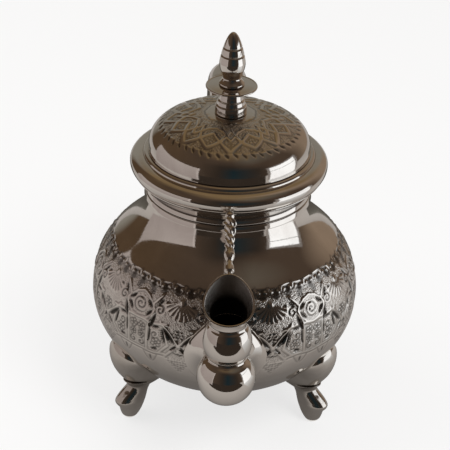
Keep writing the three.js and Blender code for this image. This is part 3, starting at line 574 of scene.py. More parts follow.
def chasedRows(make, columns, rows, count, first, fade):
    # height, shade and punch marks for every row of a piece, worked only from its row `first` on
    angles = circleAngles(columns)
    fromSpout = (np.degrees(angles) + 270) % 360 - 180
    order = np.argsort(fromSpout)
    made = supersampled(make, fromSpout[order], rows) * fade[None, :, None]
    work = np.zeros((3, count, columns))
    work[:, first:first + len(rows), order] = made
    return angles, work


def bodyPiece():
    low = np.linspace(potArc[0], pot["bandLow"] - 0.6, 17)
    band = np.arange(pot["bandLow"], pot["bandHigh"], pot["bandStep"])
    high = np.linspace(pot["bandHigh"] + 1.0, potArc[-1], 15)
    lengths = np.r_[low, band, high]
    fade = np.clip((band - pot["bandLow"]) / 1.5, 0, 1) * np.clip((pot["bandHigh"] - band) / 1.0, 0, 1)
    angles, work = chasedRows(bellyWork, pot["columns"], band, len(lengths), len(low), fade)
    inner = pot["innerColumns"]
    points, normals = potAt(lengths), potNormalAt(lengths)
    rings = [np.array([[0, 0, points[0, 1]]]), turnedRing(points[0, 0] - 0.8, points[0, 1], inner)]
    for row, (point, normal) in enumerate(zip(points, normals)):
        r = point[0] + normal[0] * work[0, row]
        z = point[1] + normal[1] * work[0, row]
        rings.append(np.stack([r * np.cos(angles), r * np.sin(angles), z], 1))
    lower, crown, cove = potOutline(16, 10, 10)
    inside = offset(np.vstack([lower, crown[1:], cove[1:]]), pot["wall"])
    spigotTop = collarTop - 1.4 - gap
    extra = [(spigotRadius, neckHeight), (spigotRadius, spigotTop), (spigotRadius - pot["wall"], spigotTop),
             (spigotRadius - pot["wall"], neckHeight)]
    extra += list(inside[::-1][1:]) + [(0, inside[0][1])]
    plain = [turnedRing(r, z, inner) for r, z in extra]
    mesh = ringMesh("body", rings + plain)
    before, after = np.zeros(1 + inner), np.zeros(sum(len(ring) for ring in plain))
    for layer, name in ((1, "patinaAndShade"), (2, "worked")):
        storeValues(mesh, name, np.r_[before, work[layer].ravel(), after])
    return mesh


bodyMesh = facingOut(bodyPiece())
print("body made", len(bodyMesh.polygons))


# Strainer holes behind the spout, cut through the wall
strainer = {"hole": 1.5, "pitch": 5.4, "rows": 2, "first": 6, "sides": 14, "before": 3, "behind": 6}


def strainerCutters():
    spots = [(0.0, 0.0)]
    for row in range(1, strainer["rows"] + 1):
        reach = row * strainer["pitch"]
        for i in range(row * strainer["first"]):
            angle = i / (row * strainer["first"]) * 2 * math.pi
            spots.append((reach * math.cos(angle), reach * math.sin(angle)))
    cutters = []
    for across, up in spots:
        height = pot["centre"] + up
        wallAt = -float(potRadiusAt(height))
        ends = (wallAt - strainer["before"], wallAt + strainer["behind"])
        cutters.append(drill("hole", across, height, strainer["hole"], ends, strainer["sides"]))
    return joined("holes", cutters)


def cutHoles(mesh, cutterMesh):
    body, cutter = placed("bodyToCut", mesh), placed("cutter", cutterMesh)
    tool = body.modifiers.new("holes", "BOOLEAN")
    tool.operation = "DIFFERENCE"
    tool.solver = "EXACT"
    tool.object = cutter
    made = bpy.data.meshes.new_from_object(body.evaluated_get(bpy.context.evaluated_depsgraph_get()))
    for item in (body, cutter):
        bpy.data.objects.remove(item)
    bpy.data.meshes.remove(mesh)
    bpy.data.meshes.remove(cutterMesh)
    return made


bodyMesh = cutHoles(bodyMesh, strainerCutters())
finished("body", bodyMesh, chasedSilver, "pot", ["body_shell"], sharp=60)
print("strainer cut", len(bodyMesh.polygons))


# Collar
collar = {"foot": 45.7, "rim": 52.3, "height": 15.3, "wall": 1.3, "ledge": 9.0, "ledgeThickness": 1.4,
          "grooves": (4.1, 7.6), "grooveHalf": 0.4, "grooveShade": 0.95, "sides": 160}
# out from the foot's radius and up from the collar's base
collarFoot = [(0, 0), (1.25, 0.35), (0.55, 3.5), (-0.35, 4.1), (0.75, 4.8), (0.2, 7.0), (-0.36, 7.6),
              (0.2, 8.3)]


def collarLine(steps):
    # grooved foot, then a smooth flare
    foot = rounded([(collar["foot"] + out, collarBase + up) for out, up in collarFoot], 0.45)
    flare = collar["rim"] - collar["foot"]
    rise = collar["height"]
    swell = bezier([(0.2, 8.3), (1.3, 10.0), (4.0, 12.6), (flare, rise - 0.6)], steps)
    swell = np.vstack([swell, [(flare, rise)]]) + (collar["foot"], collarBase)
    return foot, swell


collarOutside = np.vstack([collarLine(60)[0], collarLine(60)[1][1:]])


def collarRadiusAt(height):
    return np.interp(height, collarOutside[:, 1], collarOutside[:, 0])


def collarPiece():
    ledgeRadius = collar["rim"] - collar["ledge"]
    ledgeBottom = collarTop - collar["ledgeThickness"]
    sleeve = spigotRadius + gap
    inside = offset(collarLine(24)[1], collar["wall"])
    inside = [p for p in inside if p[0] > sleeve and p[1] < ledgeBottom - 0.2]
    lip = rounded([collarOutside[-2], collarOutside[-1], (ledgeRadius, collarTop)], 0.5)[1:]
    outline = [*collarOutside[:-1], *lip, (ledgeRadius, ledgeBottom), (inside[-1][0], ledgeBottom),
               *inside[::-1], (sleeve, inside[0][1] - gap), (sleeve, collarBase)]
    mesh = turnedMesh("collar", outline, collar["sides"], loop=True)
    # the two grooves on the outside get painted shade
    height = np.array([z for _, z in outline]) - collarBase
    groove = sum(np.exp(-((height - at) / collar["grooveHalf"]) ** 2) for at in collar["grooves"])
    groove = groove * (np.arange(len(outline)) < len(collarOutside))
    storeValues(mesh, "patinaAndShade", np.repeat(collar["grooveShade"] * groove, collar["sides"]))
    return mesh


finished("collar", collarPiece(), silver, "pot", ["neck_collar"])


# Lid flange, skirt and dome
flange = {"radius": 55.0, "groove": 48.0, "widest": 5.3, "top": 10.2, "wall": 1.2, "bead": 12.1}
dome = {"radius": 45.3, "rise": 22.2, "power": 2.45, "wall": 1.1, "columns": 560, "chasedTo": 38.6,
        "bore": 1.9}
domeBase = lidBase + flange["bead"] + gap
domeTop = domeBase + dome["rise"]


def flangeRim(lowerSteps, upperSteps):
    bulge = flange["radius"] - flange["groove"]
    turn = math.acos((collar["rim"] - flange["groove"]) / bulge)
    widest = lidBase + flange["widest"]
    low = arc(flange["groove"], widest, bulge, flange["widest"] / math.sin(turn), -turn, 0, lowerSteps)
    high = arc(flange["groove"], widest, bulge, flange["top"] - flange["widest"], 0, math.pi / 2, upperSteps)
    return np.vstack([low, high[1:]])


flangeOutside = flangeRim(12, 16)


def flangePiece():
    rim = flangeOutside
    under = offset(flangeRim(8, 8), flange["wall"])
    under[0, 1] = lidBase
    groove = rim[-1]
    beadTop = lidBase + flange["bead"]
    beadRadius = dome["radius"] + gap
    ledge = dome["radius"] - dome["wall"] - gap
    beadWidth, beadRise = groove[0] - gap - beadRadius, beadTop - groove[1]
    bead = arc(beadRadius, groove[1], beadWidth, beadRise, math.pi / 12, math.pi / 2, 8)
    outline = [*rim, (groove[0] - gap, groove[1] - gap), *bead, (ledge, beadTop),
               (ledge, beadTop - flange["wall"]), *under[::-1]]
    return turnedMesh("flange", outline, 180, loop=True)


finished("flange", flangePiece(), silver, "lid", ["lid_flange"])


skirt = {"play": 1.3, "thick": 1.2, "drop": 7.5, "sides": 120}


def skirtPiece():
    outer = collar["rim"] - collar["ledge"] - skirt["play"]
    inner = outer - skirt["thick"]
    edge = collar["rim"] - flange["wall"] - 2 * gap
    bottom, top = lidBase - skirt["drop"], lidBase + skirt["thick"]
    outline = [(inner, bottom), (outer, bottom), (outer, lidBase), (edge, lidBase), (edge, top), (inner, top)]
    return turnedMesh("skirt", rounded([*outline, outline[0]], 0.25, 2)[:-1], skirt["sides"], loop=True)


finished("skirt", skirtPiece(), silver, "lid", ["lid_skirt"])


def domeHeightAt(radius, inset=0.0):
    share = np.clip(np.asarray(radius, float) / (dome["radius"] - inset), 0, 1)
    return (dome["rise"] - inset) * (1 - share ** dome["power"]) ** (1 / dome["power"])


domeStraps = [
    [(0, 36.4), (5.2, 29.6), (10.6, 34.5)],
    [(0, 20.0), (5.2, 29.6)],
    [(5.2, 29.6), (10.6, 23.5)],
    [(0, 28.6), (4.6, 21.5), (10.6, 18.6)],
]


domeBlossoms = [((10.4, 28.4), 3.4, 7), ((0, 24.4), 2.9, 6), ((0, 32.4), 2.0, 5), ((5.4, 18.6), 1.4, 4)]
domeScrolls = [(6.9, 24.6), (3.4, 34.2), (11.6, 35.4)]
domeChasing = {"repeat": 45, "middle": 27.0, "strap": 1.3, "bossEdge": 14.9, "bossLine": 14.0, "border": 36.6,
               "leafRepeat": 7.2}


def domeWork(phi, r):
    side = (phi + domeChasing["repeat"] / 2) % domeChasing["repeat"] - domeChasing["repeat"] / 2
    wide = r / domeChasing["middle"]  # the pattern's width grows with the radius
    x = (np.abs(side) * 0.47 + 0.12 * np.sin(np.radians(phi) * 11)) * wide
    y = r + 0.25 * np.sin(np.radians(phi) * 9 + 0.7) + 0.15 * np.sin(np.radians(phi) * 23)
    marks = speckle(np.radians(phi) * 27, r, 1.3, 5.0)
    swell = 0.14 * np.sin(x * 1.7) * np.sin(y * 1.5 + x)
    # the shade layer darkens punch marks, lines and the ring round the boss: patina and painted shade
    work = [-0.32 + swell - 0.12 * marks, 0.3 * marks, np.full(x.shape, 0.9)]
    for centre, radius, petals in domeBlossoms:
        line, inside = blossom(x, y, centre, radius, petals)
        raiseWithin(work, inside * 0.9, -0.05 - 0.16 * np.exp(-(line / 0.45) ** 2))
        carve(work, line, 0.26, 0.5, 0.6)
    for centre in domeScrolls:
        carve(work, spiralLine(x, y, centre, 1.9, 2.4, 0.8), 0.3, 0.5, 0.6)
    strap = np.min([toPath(x / np.maximum(wide, 0.6), y, path) for path in domeStraps], 0)
    half = domeChasing["strap"]
    raiseWithin(work, below(strap, half), -0.26 * np.clip(strap / half, 0, 1) ** 2)
    carve(work, np.abs(strap - half), 0.24, 0.5, 0.6)
    # plain boss inside with a line painted dark round it, and a border of slanting leaves outside
    inner = below(y, domeChasing["bossEdge"], 0.3)
    boss = blank(x)
    fromLine = np.abs(y - domeChasing["bossLine"])
    boss[0] = -0.35 * below(fromLine, 0.5, 0.4)
    boss[1] = 0.55 * below(fromLine, 0.45, 0.3)
    border = domeChasing["border"]
    outer = below(-y, -border, 0.25)
    edge = blank(x)
    along = (phi % domeChasing["leafRepeat"]) - domeChasing["leafRepeat"] / 2
    carve(edge, np.abs(y - border), 0.24, 0.26, 0.5)
    leaf = toSlit(along * 0.65 - (y - 37.9) * 0.8, y, (0, 37.0), (0, 39.2), 0.75)
    carve(edge, leaf, 1.0, 0.42, 0.8, 0.3)
    return np.stack([part * (1 - inner) * (1 - outer) + plain * inner + rim * outer
                     for part, plain, rim in zip(work, boss, edge)])


def domePiece():
    bore = dome["bore"]
    columns = dome["columns"]
    edge = dome["radius"] * np.cos(np.linspace(0, math.pi / 2 * 0.34, 18))
    chased = np.arange(dome["chasedTo"] + 0.9, 12.6, -0.5)
    edge = edge[edge > chased[0] + 0.3]
    radii = np.r_[edge, chased, np.linspace(12.2, bore, 12)]
    fade = np.clip((chased - 12.8) / 0.4, 0, 1) * np.clip((dome["chasedTo"] + 1.1 - chased) / 0.5, 0, 1)
    angles, work = chasedRows(domeWork, columns, chased, len(radii), len(edge), fade)
    rings = []
    for row, radius in enumerate(radii):
        z = domeBase + float(domeHeightAt(radius)) + work[0, row]
        rings.append(np.stack([radius * np.cos(angles), radius * np.sin(angles), z], 1))
    inner = columns // 4
    plain = [turnedRing(radius, domeBase + float(domeHeightAt(radius, dome["wall"])), inner)
             for radius in np.linspace(bore, dome["radius"] - dome["wall"], 26)]
    mesh = ringMesh("dome", rings + plain, loop=True)
    for layer, name in ((1, "patinaAndShade"), (2, "worked")):
        storeValues(mesh, name, np.r_[work[layer].ravel(), np.zeros(inner * len(plain))])
    return mesh


finished("dome", facingOut(domePiece()), chasedSilver, "lid", ["lid_dome"], sharp=60)
print("lid made")


# Finial
finial = {"base": 8.9, "baseHeight": 14.7, "baseTop": 5.9, "guard": 14.2, "guardThick": 1.4, "rim": 0.6,
          "hub": 7.4, "knob": 7.2, "knobHeight": 30.4, "groove": 0.45, "bore": 1.9, "boreDepth": 12.3}
finialBottom = domeTop + gap
guardBottom = finialBottom + finial["baseHeight"] + gap
knobBottom = guardBottom + finial["guardThick"] + gap


finialBaseShares = [(1, 0.03), (0.97, 0.31), (0.87, 0.35), (0.84, 0.5), (0.75, 0.54), (0.71, 0.72),
                    (0.67, 0.78)]
knobShares = [(0.98, 0), (0.98, 0.035), (0.8, 0.08), (0.7, 0.13), (0.74, 0.17), (0.8, 0.224), (0.93, 0.3),
              (0.98, 0.36), (1, 0.43)]
knobGrooveShares = (0.25, 0.5)
guardSlope = [(12.9, 0.5), (11, 0.3), (9, 0.08)]  # radius and drop below the guard's top


def finialBasePiece():
    foot = [(radius, domeBase + float(domeHeightAt(radius)) + gap)
            for radius in (finial["base"] * share for share in (0.33, 0.66, 1))]
    side = [(finial["base"] * out, finialBottom + finial["baseHeight"] * up) for out, up in finialBaseShares]
    top = finialBottom + finial["baseHeight"]
    outline = [(finial["bore"], finialBottom), *foot, *side, (finial["baseTop"], top), (finial["bore"], top)]
    return turnedMesh("finialBase", rounded(outline, 0.7), 96, loop=True)


def guardPiece():
    # slightly domed disc with a rolled rim
    top = guardBottom + finial["guardThick"]
    bead = arc(finial["guard"] - finial["rim"], top - 0.85, finial["rim"], finial["rim"], -1.5, 2.5, 14)
    slope = [(radius, top - drop) for radius, drop in guardSlope]
    slope = bezier([*slope, (finial["hub"] + 0.3, top - 0.05)], 8)
    outline = [(finial["bore"], guardBottom), (finial["baseTop"], guardBottom), *bead, *slope,
               (finial["hub"], top), (finial["bore"], top)]
    return turnedMesh("guard", outline, 120, loop=True)


def knobPiece():
    spots = [(finial["knob"] * out, knobBottom + finial["knobHeight"] * up) for out, up in knobShares]
    widestShare = knobShares[-1][1]
    lower, middle = rounded(spots[:3], 0.5), smoothLine(spots[2:], 6)
    along = np.linspace(0, 1, 61) ** 0.9
    radius = finial["knob"] * np.sqrt(1 - along ** 1.1)
    for at in knobGrooveShares:
        radius = radius - finial["groove"] * np.exp(-((along - at) / 0.018) ** 2)
    height = knobBottom + finial["knobHeight"] * (widestShare + (1 - widestShare) * along)
    upper = np.stack([np.maximum(radius, 0), height], 1)
    boreTop = knobBottom + finial["boreDepth"]
    outline = [(0, boreTop), (finial["bore"], boreTop), (finial["bore"], knobBottom),
               *lower, *middle[1:], *upper[1:]]
    return turnedMesh("knob", outline, 96)


finished("finialBase", facingOut(finialBasePiece()), silver, "lid", ["finial_base"])
finished("heatGuard", facingOut(guardPiece()), silver, "lid", ["finial_guard"])
finished("knob", facingOut(knobPiece()), silver, "lid", ["finial_knob"])
for nodeName in ("finial_stud", "finial_washer", "finial_nut"):
    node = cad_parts[nodeName]
    for slot in node.material_slots:
        slot.material = brass
print("finial made")


# Spout
spout = {"ball": 15.74, "ballOver": 15.8, "reach": 26.8, "rise": 5.0, "bulb": 13.0, "bulbLow": 13.0,
         "bulbHigh": 17.5, "wall": 1.3, "groove": 9.7, "bore": 8.6, "mouth": 16, "trunk": 11.0,
         "rootWidth": 45.4, "rootDrop": 24.0, "rootRise": 25.0, "sides": 96, "portSides": 64}
beak = {"height": 13.6, "front": 11.0, "back": 10.4, "frontDrop": 9.3, "backRise": 9.4, "half": 13.2,
        "wall": 1.1}
spoutRadius = pot["radius"] + spout["reach"]
spoutHeight = pot["centre"] + spout["rise"]
ballTopRise = math.sqrt(spout["ballOver"] ** 2 - spout["groove"] ** 2)


def waist(start, run, height, steps=12):
    # hollow curve from a round form to the groove between two forms
    side = math.copysign(1, height - start[1])
    reach = abs(height - start[1])
    return bezier([start,
                   (start[0] + run[0] * reach * 0.55, start[1] + run[1] * reach * 0.55),
                   (spout["groove"], height - side * reach * 0.5), (spout["groove"], height)], steps)


def ballPiece():
    inner = spout["ball"] - spout["wall"]
    innerTop = math.acos((spout["groove"] - spout["wall"]) / inner)
    turn = math.radians(36)
    last = (spout["ball"] * math.cos(turn), spoutHeight + spout["ball"] * math.sin(turn))
    outline = np.vstack([arc(0, spoutHeight, spout["ball"], spout["ball"], -math.pi / 2, turn, 40),
                         waist(last, (-math.sin(turn), math.cos(turn)), spoutHeight + ballTopRise)[1:],
                         arc(0, spoutHeight, inner, inner, innerTop, -math.pi / 2, 24)])
    outline[0, 0] = outline[-1, 0] = 0
    mesh = turnedMesh("ball", outline, spout["sides"])
    # the inside faces get painted shade
    storeValues(mesh, "patinaAndShade", np.arange(len(mesh.vertices)) > 52 * spout["sides"])
    mesh.transform(Matrix.Translation((0, -spoutRadius * 0.001, 0)))
    ends = (-spoutRadius + spout["ball"] * 0.5, -spoutRadius + spout["ball"] * 1.5)
    port = drill("port", 0, spoutHeight, spout["bore"], ends, spout["portSides"])
    return cutHoles(facingOut(mesh), port)


bulbShare = math.sqrt(1 - (spout["groove"] / spout["bulb"]) ** 2)
bulbCentre = spoutHeight + ballTopRise + gap + spout["bulbLow"] * bulbShare
beakBase = bulbCentre + spout["bulbHigh"] * bulbShare + gap


def bulbPiece():
    inner = spout["bulb"] - spout["wall"]
    outerEnd = math.acos(spout["groove"] / spout["bulb"])
    innerEnd = math.acos((spout["groove"] - spout["wall"]) / inner)
    ends = []
    for depth, side in ((spout["bulbLow"], -1), (spout["bulbHigh"], 1)):
        turn = outerEnd * 0.72
        start = (spout["bulb"] * math.cos(turn), bulbCentre + side * depth * math.sin(turn))
        run = np.array([-spout["bulb"] * math.sin(turn), side * depth * math.cos(turn)])
        ends.append(waist(start, run / np.linalg.norm(run), bulbCentre + side * depth * bulbShare))
    outline = np.vstack([
        ends[0][::-1],
        arc(0, bulbCentre, spout["bulb"], spout["bulbLow"], -outerEnd * 0.72, 0, 14)[1:],
        arc(0, bulbCentre, spout["bulb"], spout["bulbHigh"], 0, outerEnd * 0.72, 14)[1:],
        ends[1][1:],
        arc(0, bulbCentre, inner, spout["bulbHigh"] * bulbShare / math.sin(innerEnd), innerEnd, 0, 10),
        arc(0, bulbCentre, inner, spout["bulbLow"] * bulbShare / math.sin(innerEnd), 0, -innerEnd, 10)[1:]])
    mesh = turnedMesh("bulb", outline, spout["sides"], loop=True)
    # the inside faces get painted shade
    storeValues(mesh, "patinaAndShade", np.arange(len(mesh.vertices)) >= (len(outline) - 21) * spout["sides"])
    mesh.transform(Matrix.Translation((0, -spoutRadius * 0.001, 0)))
    return mesh


def beakRing(along, grow, count):
    angles = circleAngles(count)
    back, side = np.sin(angles), np.cos(angles)
    reach = np.where(back > 0, beak["back"], beak["front"]) + grow
    width = (beak["half"] + grow) * (1 - 0.2 * back)
    flare = along ** 1.5
    base = spout["groove"] + grow
    rim = beak["height"] + np.where(back > 0, beak["backRise"], beak["frontDrop"]) * back
    x, y = (base + (width - base) * flare) * side, (base + (reach - base) * flare) * back - spoutRadius
    return np.stack([x, y, beakBase + rim * along], 1)


def beakPiece():
    # rolled lip; the painted shade inside grows with the depth
    count = spout["sides"]
    alongs = np.linspace(0, 1, 26)
    outer = [beakRing(a, 0.28 * math.exp(-((a - 0.95) / 0.05) ** 2), count) for a in alongs]
    lip = [beakRing(1.0, -beak["wall"] * share, count) + np.array([0, 0, rise])
           for share, rise in ((0.15, 0.25), (0.5, 0.38), (0.85, 0.25))]
    inner = [beakRing(a, -beak["wall"], count) for a in alongs[::-1]]
    mesh = ringMesh("beak", [*outer, *lip, *inner], loop=True)
    depth = np.clip((1 - alongs[::-1] - 0.35) / 0.25, 0, 1)
    storeValues(mesh, "patinaAndShade", np.repeat(np.r_[np.zeros(len(alongs) + 3), 0.45 + 0.55 * depth], count))
    return facingOut(mesh)


# how deep the root starts in the wall, how far its edge and its side stand out, and how hollow its side is
root = {"sunk": -0.5, "edge": 0.55, "proud": 1.0, "hollow": 2.4, "rings": 36, "firstShare": 0.012,
        "mouthHollow": 1.3, "mouthRings": 20, "past": 1.2}


def rootPiece():
    count = spout["sides"]
    angles = circleAngles(count)
    end = spoutRadius - spout["ball"] + spout["wall"] + root["past"]

    def ring(share, startAcross, startUp, trunk, seat, power):
        centre = pot["centre"] + (spoutHeight - pot["centre"]) * share
        across = startAcross + (trunk * np.cos(angles) - startAcross) * share
        height = centre + startUp + (trunk * np.sin(angles) - startUp) * share
        surface = np.sqrt(np.maximum(potRadiusAt(height) ** 2 - across ** 2, 0))
        out = surface + seat + (end - surface - seat) * share ** power
        return np.stack([across, -out, height], 1)

    up = np.sin(angles)
    half = spout["rootWidth"] / 2 * np.cos(angles)
    across = np.where(up < 0, half, half * (1 - 0.28 * up))
    rise = np.where(up < 0, spout["rootDrop"] * up, spout["rootRise"] * up * (1 - 0.55 * up ** 2 * (1 - up)))
    mouthX, mouthZ = spout["mouth"] * np.cos(angles), spout["mouth"] * np.sin(angles)
    rings = [ring(0, across, rise, spout["trunk"], seat, 1) for seat in (root["sunk"], root["edge"])]
    rings += [ring(share, across, rise, spout["trunk"], root["proud"], root["hollow"])
              for share in np.linspace(root["firstShare"], 1, root["rings"])]
    rings += [ring(share, mouthX, mouthZ, spout["bore"], root["sunk"], root["mouthHollow"])
              for share in np.linspace(1, 0, root["mouthRings"])]
    return facingOut(ringMesh("spoutRoot", rings, loop=True))


finished("spoutBall", ballPiece(), silver, "pot", ["spout_ball"], sharp=45)
finished("spoutBulb", facingOut(bulbPiece()), silver, "pot", ["spout_bulb"])
finished("beak", beakPiece(), beakSilver, "pot", ["spout_beak"])
finished("spoutRoot", rootPiece(), silver, "pot", ["spout_root"], sharp=50)
print("spout made")


# A swept form, for the handle and the bridge: its sections are stored on the line that it follows
def sweepTree():
    tree = bpy.data.node_groups.new("sweep along a line", "GeometryNodeTree")
    face = tree.interface
    face.new_socket("Geometry", in_out="INPUT", socket_type="NodeSocketGeometry")
    for label, value in (("Sections", 120), ("Sides", 32)):
        socket = face.new_socket(label, in_out="INPUT", socket_type="NodeSocketInt")
        socket.default_value = value
    for label, value in (("Flutes", 4.0), ("Twist turns", 2.0)):
        socket = face.new_socket(label, in_out="INPUT", socket_type="NodeSocketFloat")
        socket.default_value = value
    face.new_socket("Material", in_out="INPUT", socket_type="NodeSocketMaterial")
    face.new_socket("Geometry", in_out="OUTPUT", socket_type="NodeSocketGeometry")
    given = addNode(tree, "NodeGroupInput", (-1200, 0)).outputs

    def calc(kind, *values):
        return mathNode(tree, (0, -400), kind, *values)

    def vector(kind, at, inputs):
        return addNode(tree, "ShaderNodeVectorMath", at, inputs, operation=kind).outputs[0]

    line = addNode(tree, "GeometryNodeMeshToCurve", (-900, 300), {0: given["Geometry"]}).outputs[0]
    seam = calc("ADD", given["Sides"], 1.0)
    grid = addNode(tree, "GeometryNodeMeshGrid", (-800, 0),
                   {"Vertices X": given["Sections"], "Vertices Y": seam})
    spot = addNode(tree, "GeometryNodeInputPosition", (-900, -400)).outputs[0]
    parts = addNode(tree, "ShaderNodeSeparateXYZ", (-700, -400), {0: spot}).outputs
    along = calc("ADD", parts["X"], 0.5)
    turn = calc("MULTIPLY", calc("ADD", parts["Y"], 0.5), 2 * math.pi)
    samples = []
    for label, kind in (("section", "FLOAT_VECTOR"), ("flute", "FLOAT")):
        stored = addNode(tree, "GeometryNodeInputNamedAttribute", (-900, -700), {"Name": label},
                         data_type=kind).outputs[0]
        sample = addNode(tree, "GeometryNodeSampleCurve", (-400, 200),
                         {"Curves": line, "Value": stored, "Factor": along},
                         data_type=kind, mode="FACTOR", use_all_curves=True)
        samples.append(sample.outputs)
    size = addNode(tree, "ShaderNodeSeparateXYZ", (-200, -100), {0: samples[0]["Value"]}).outputs
    cosine, sine = calc("COSINE", turn), calc("SINE", turn)
    twist = calc("MULTIPLY", calc("MULTIPLY", along, given["Twist turns"]), 2 * math.pi)
    phase = calc("ADD", calc("MULTIPLY", turn, given["Flutes"]), twist)
    swell = calc("MULTIPLY_ADD", calc("COSINE", phase), samples[1]["Value"], 1.0)
    wide = calc("MULTIPLY", calc("MULTIPLY", cosine, size["X"]), swell)
    ahead = calc("MULTIPLY", calc("MAXIMUM", sine, 0.0), size["Y"])
    deep = calc("MULTIPLY", calc("MULTIPLY_ADD", calc("MINIMUM", sine, 0.0), size["Z"], ahead), swell)
    up = vector("CROSS_PRODUCT", (0, 100), {0: samples[0]["Tangent"], 1: (1, 0, 0)})
    raised = vector("SCALE", (300, 100), {0: vector("NORMALIZE", (150, 100), {0: up}), "Scale": deep})
    across = addNode(tree, "ShaderNodeCombineXYZ", (300, -100), {"X": wide}).outputs[0]
    first = vector("ADD", (500, 0), {0: raised, 1: across})
    total = vector("ADD", (700, 0), {0: first, 1: samples[0]["Position"]})
    made = grid.outputs["Mesh"]
    for kind, at, inputs in (
        ("GeometryNodeSetPosition", (900, 0), {"Position": total}),
        ("GeometryNodeMergeByDistance", (1050, 0), {"Distance": 0.000001}),
        ("GeometryNodeRealizeInstances", (1200, 0), {}),
        ("GeometryNodeSetMaterial", (1400, 0), {"Material": given["Material"]}),
        ("NodeGroupOutput", (1600, 0), {}),
    ):
        made = addNode(tree, kind, at, {0: made, **inputs})
        made = made.outputs[0] if made.outputs else None
    return tree


sweep = sweepTree()


def sweptMesh(name, line, sections, flutes, sizes, material):
    # line in millimetres; sections holds half width, depth ahead and depth behind at each of its points
    source = bpy.data.meshes.new(name + "Line")
    edges = [(i, i + 1) for i in range(len(line) - 1)]
    source.from_pydata(toMetres(line).tolist(), edges, [])
    stored = source.attributes.new("section", "FLOAT_VECTOR", "POINT")
    stored.data.foreach_set("vector", (np.asarray(sections, np.float32) * 0.001).ravel())
    fluted = source.attributes.new("flute", "FLOAT", "POINT")
    fluted.data.foreach_set("value", np.asarray(flutes, np.float32))
    holder = placed(name + "Line", source)
    tool = holder.modifiers.new("sweep", "NODES")
    tool.node_group = sweep
    values = dict(sizes, Material=material)
    for item in sweep.interface.items_tree:
        if item.in_out == "INPUT" and item.name in values:
            tool[item.identifier] = values[item.name]
    mesh = bpy.data.meshes.new_from_object(holder.evaluated_get(bpy.context.evaluated_depsgraph_get()))
    bpy.data.objects.remove(holder)
    bpy.data.meshes.remove(source)
    work = bmesh.new()
    work.from_mesh(mesh)
    bmesh.ops.holes_fill(work, edges=[e for e in work.edges if e.is_boundary], sides=0)
    bmesh.ops.recalc_face_normals(work, faces=work.faces)
    work.to_mesh(mesh)
    work.free()
    return facingOut(mesh)


# Handle and its sockets
handle = {"width": 24.0, "outer": 12.6, "inner": 7.5, "endWidth": 13.0, "endDepth": 5.5, "sections": 150,
          "sides": 48, "socket": 14.0}
handleStart = np.array([0, pot["neckRadius"] + 11.1, neckHeight - 5.0])
handleCrown = np.array([0, pot["neckRadius"] + 50.6, neckHeight + 23.0])
handleFoot = np.array([0, pot["radius"] + 8.1, pot["centre"] - 1.5])
handleBack = pot["radius"] + 46.0
handlePoints = [handleStart, handleStart + (handleCrown - handleStart) * 0.32,
                np.array([0, handleStart[1] + (handleCrown[1] - handleStart[1]) * 0.6,
                          handleStart[2] + (handleCrown[2] - handleStart[2]) * 0.86]), handleCrown]
for outShare, upShare in ((0.76, 0.91), (1, 0.7), (0.95, 0.42), (0.62, 0.2)):
    handlePoints.append(np.array([0, handleFoot[1] + (handleBack - handleFoot[1]) * outShare,
                                  handleFoot[2] + (handleCrown[2] - handleFoot[2]) * upShare]))
handlePoints.append(handleFoot)
handleLine = evenly(smoothLine(handlePoints, 40), 161)


def handlePiece():
    along = np.linspace(0, 1, len(handleLine))
    swell = np.sin(math.pi * along) ** 0.5
    half = (handle["endWidth"] + (handle["width"] - handle["endWidth"]) * swell) / 2
    ahead = handle["endDepth"] + (handle["inner"] - handle["endDepth"]) * swell
    behind = handle["endDepth"] + (handle["outer"] - handle["endDepth"]) * swell
    sections = np.stack([half, ahead, behind], 1)
    return sweptMesh("handle", handleLine, sections, np.zeros(len(along)),
                     {"Sections": handle["sections"], "Sides": handle["sides"]}, silver)


def sectionRing(centre, run, half, ahead, behind, count):
    across = np.array([1.0, 0, 0])
    up = np.cross(run, across)
    up /= np.linalg.norm(up)
    angles = circleAngles(count)
    depth = np.where(np.sin(angles) > 0, ahead, behind) * np.sin(angles)
    return centre + np.outer(np.cos(angles) * half, across) + np.outer(depth, up)


def insideWall(points, wall=0.5):
    # what would reach into the pot stops inside its wall
    points = np.array(points, float)
    radius = np.hypot(points[:, 0], points[:, 1])
    height = points[:, 2]
    limit = np.where(height < neckHeight, potRadiusAt(height), collarRadiusAt(height)) - wall
    inside = radius < limit
    scale = np.where(inside, limit / np.maximum(radius, 1e-6), 1)
    points[:, 0] *= scale
    points[:, 1] *= scale
    return points


def socketPiece(name, atStart):
    here, after = (handleLine[0], handleLine[1]) if atStart else (handleLine[-1], handleLine[-2])
    run = (here - after) / np.linalg.norm(here - after)
    shares = smoothLine([(i / 4, f) for i, f in enumerate((1.04, 1.12, 1, 1.1, 1.35))], 10)
    start = here + run * gap
    rings = []
    for along, flare in shares:
        centre = start + run * handle["socket"] * along
        ring = sectionRing(centre, run, handle["endWidth"] / 2 * flare, handle["endDepth"] * flare,
                           handle["endDepth"] * flare, 48)
        rings.append(insideWall(ring))
    return facingOut(ringMesh(name, capped(rings)))


finished("handle", handlePiece(), silver, "pot", ["handle"])
for end in ("Upper", "Lower"):
    socket = socketPiece("handleSocket" + end, end == "Upper")
    finished("handleSocket" + end, socket, silver, "pot", ["handle_socket_" + end.lower()])
print("handle made")


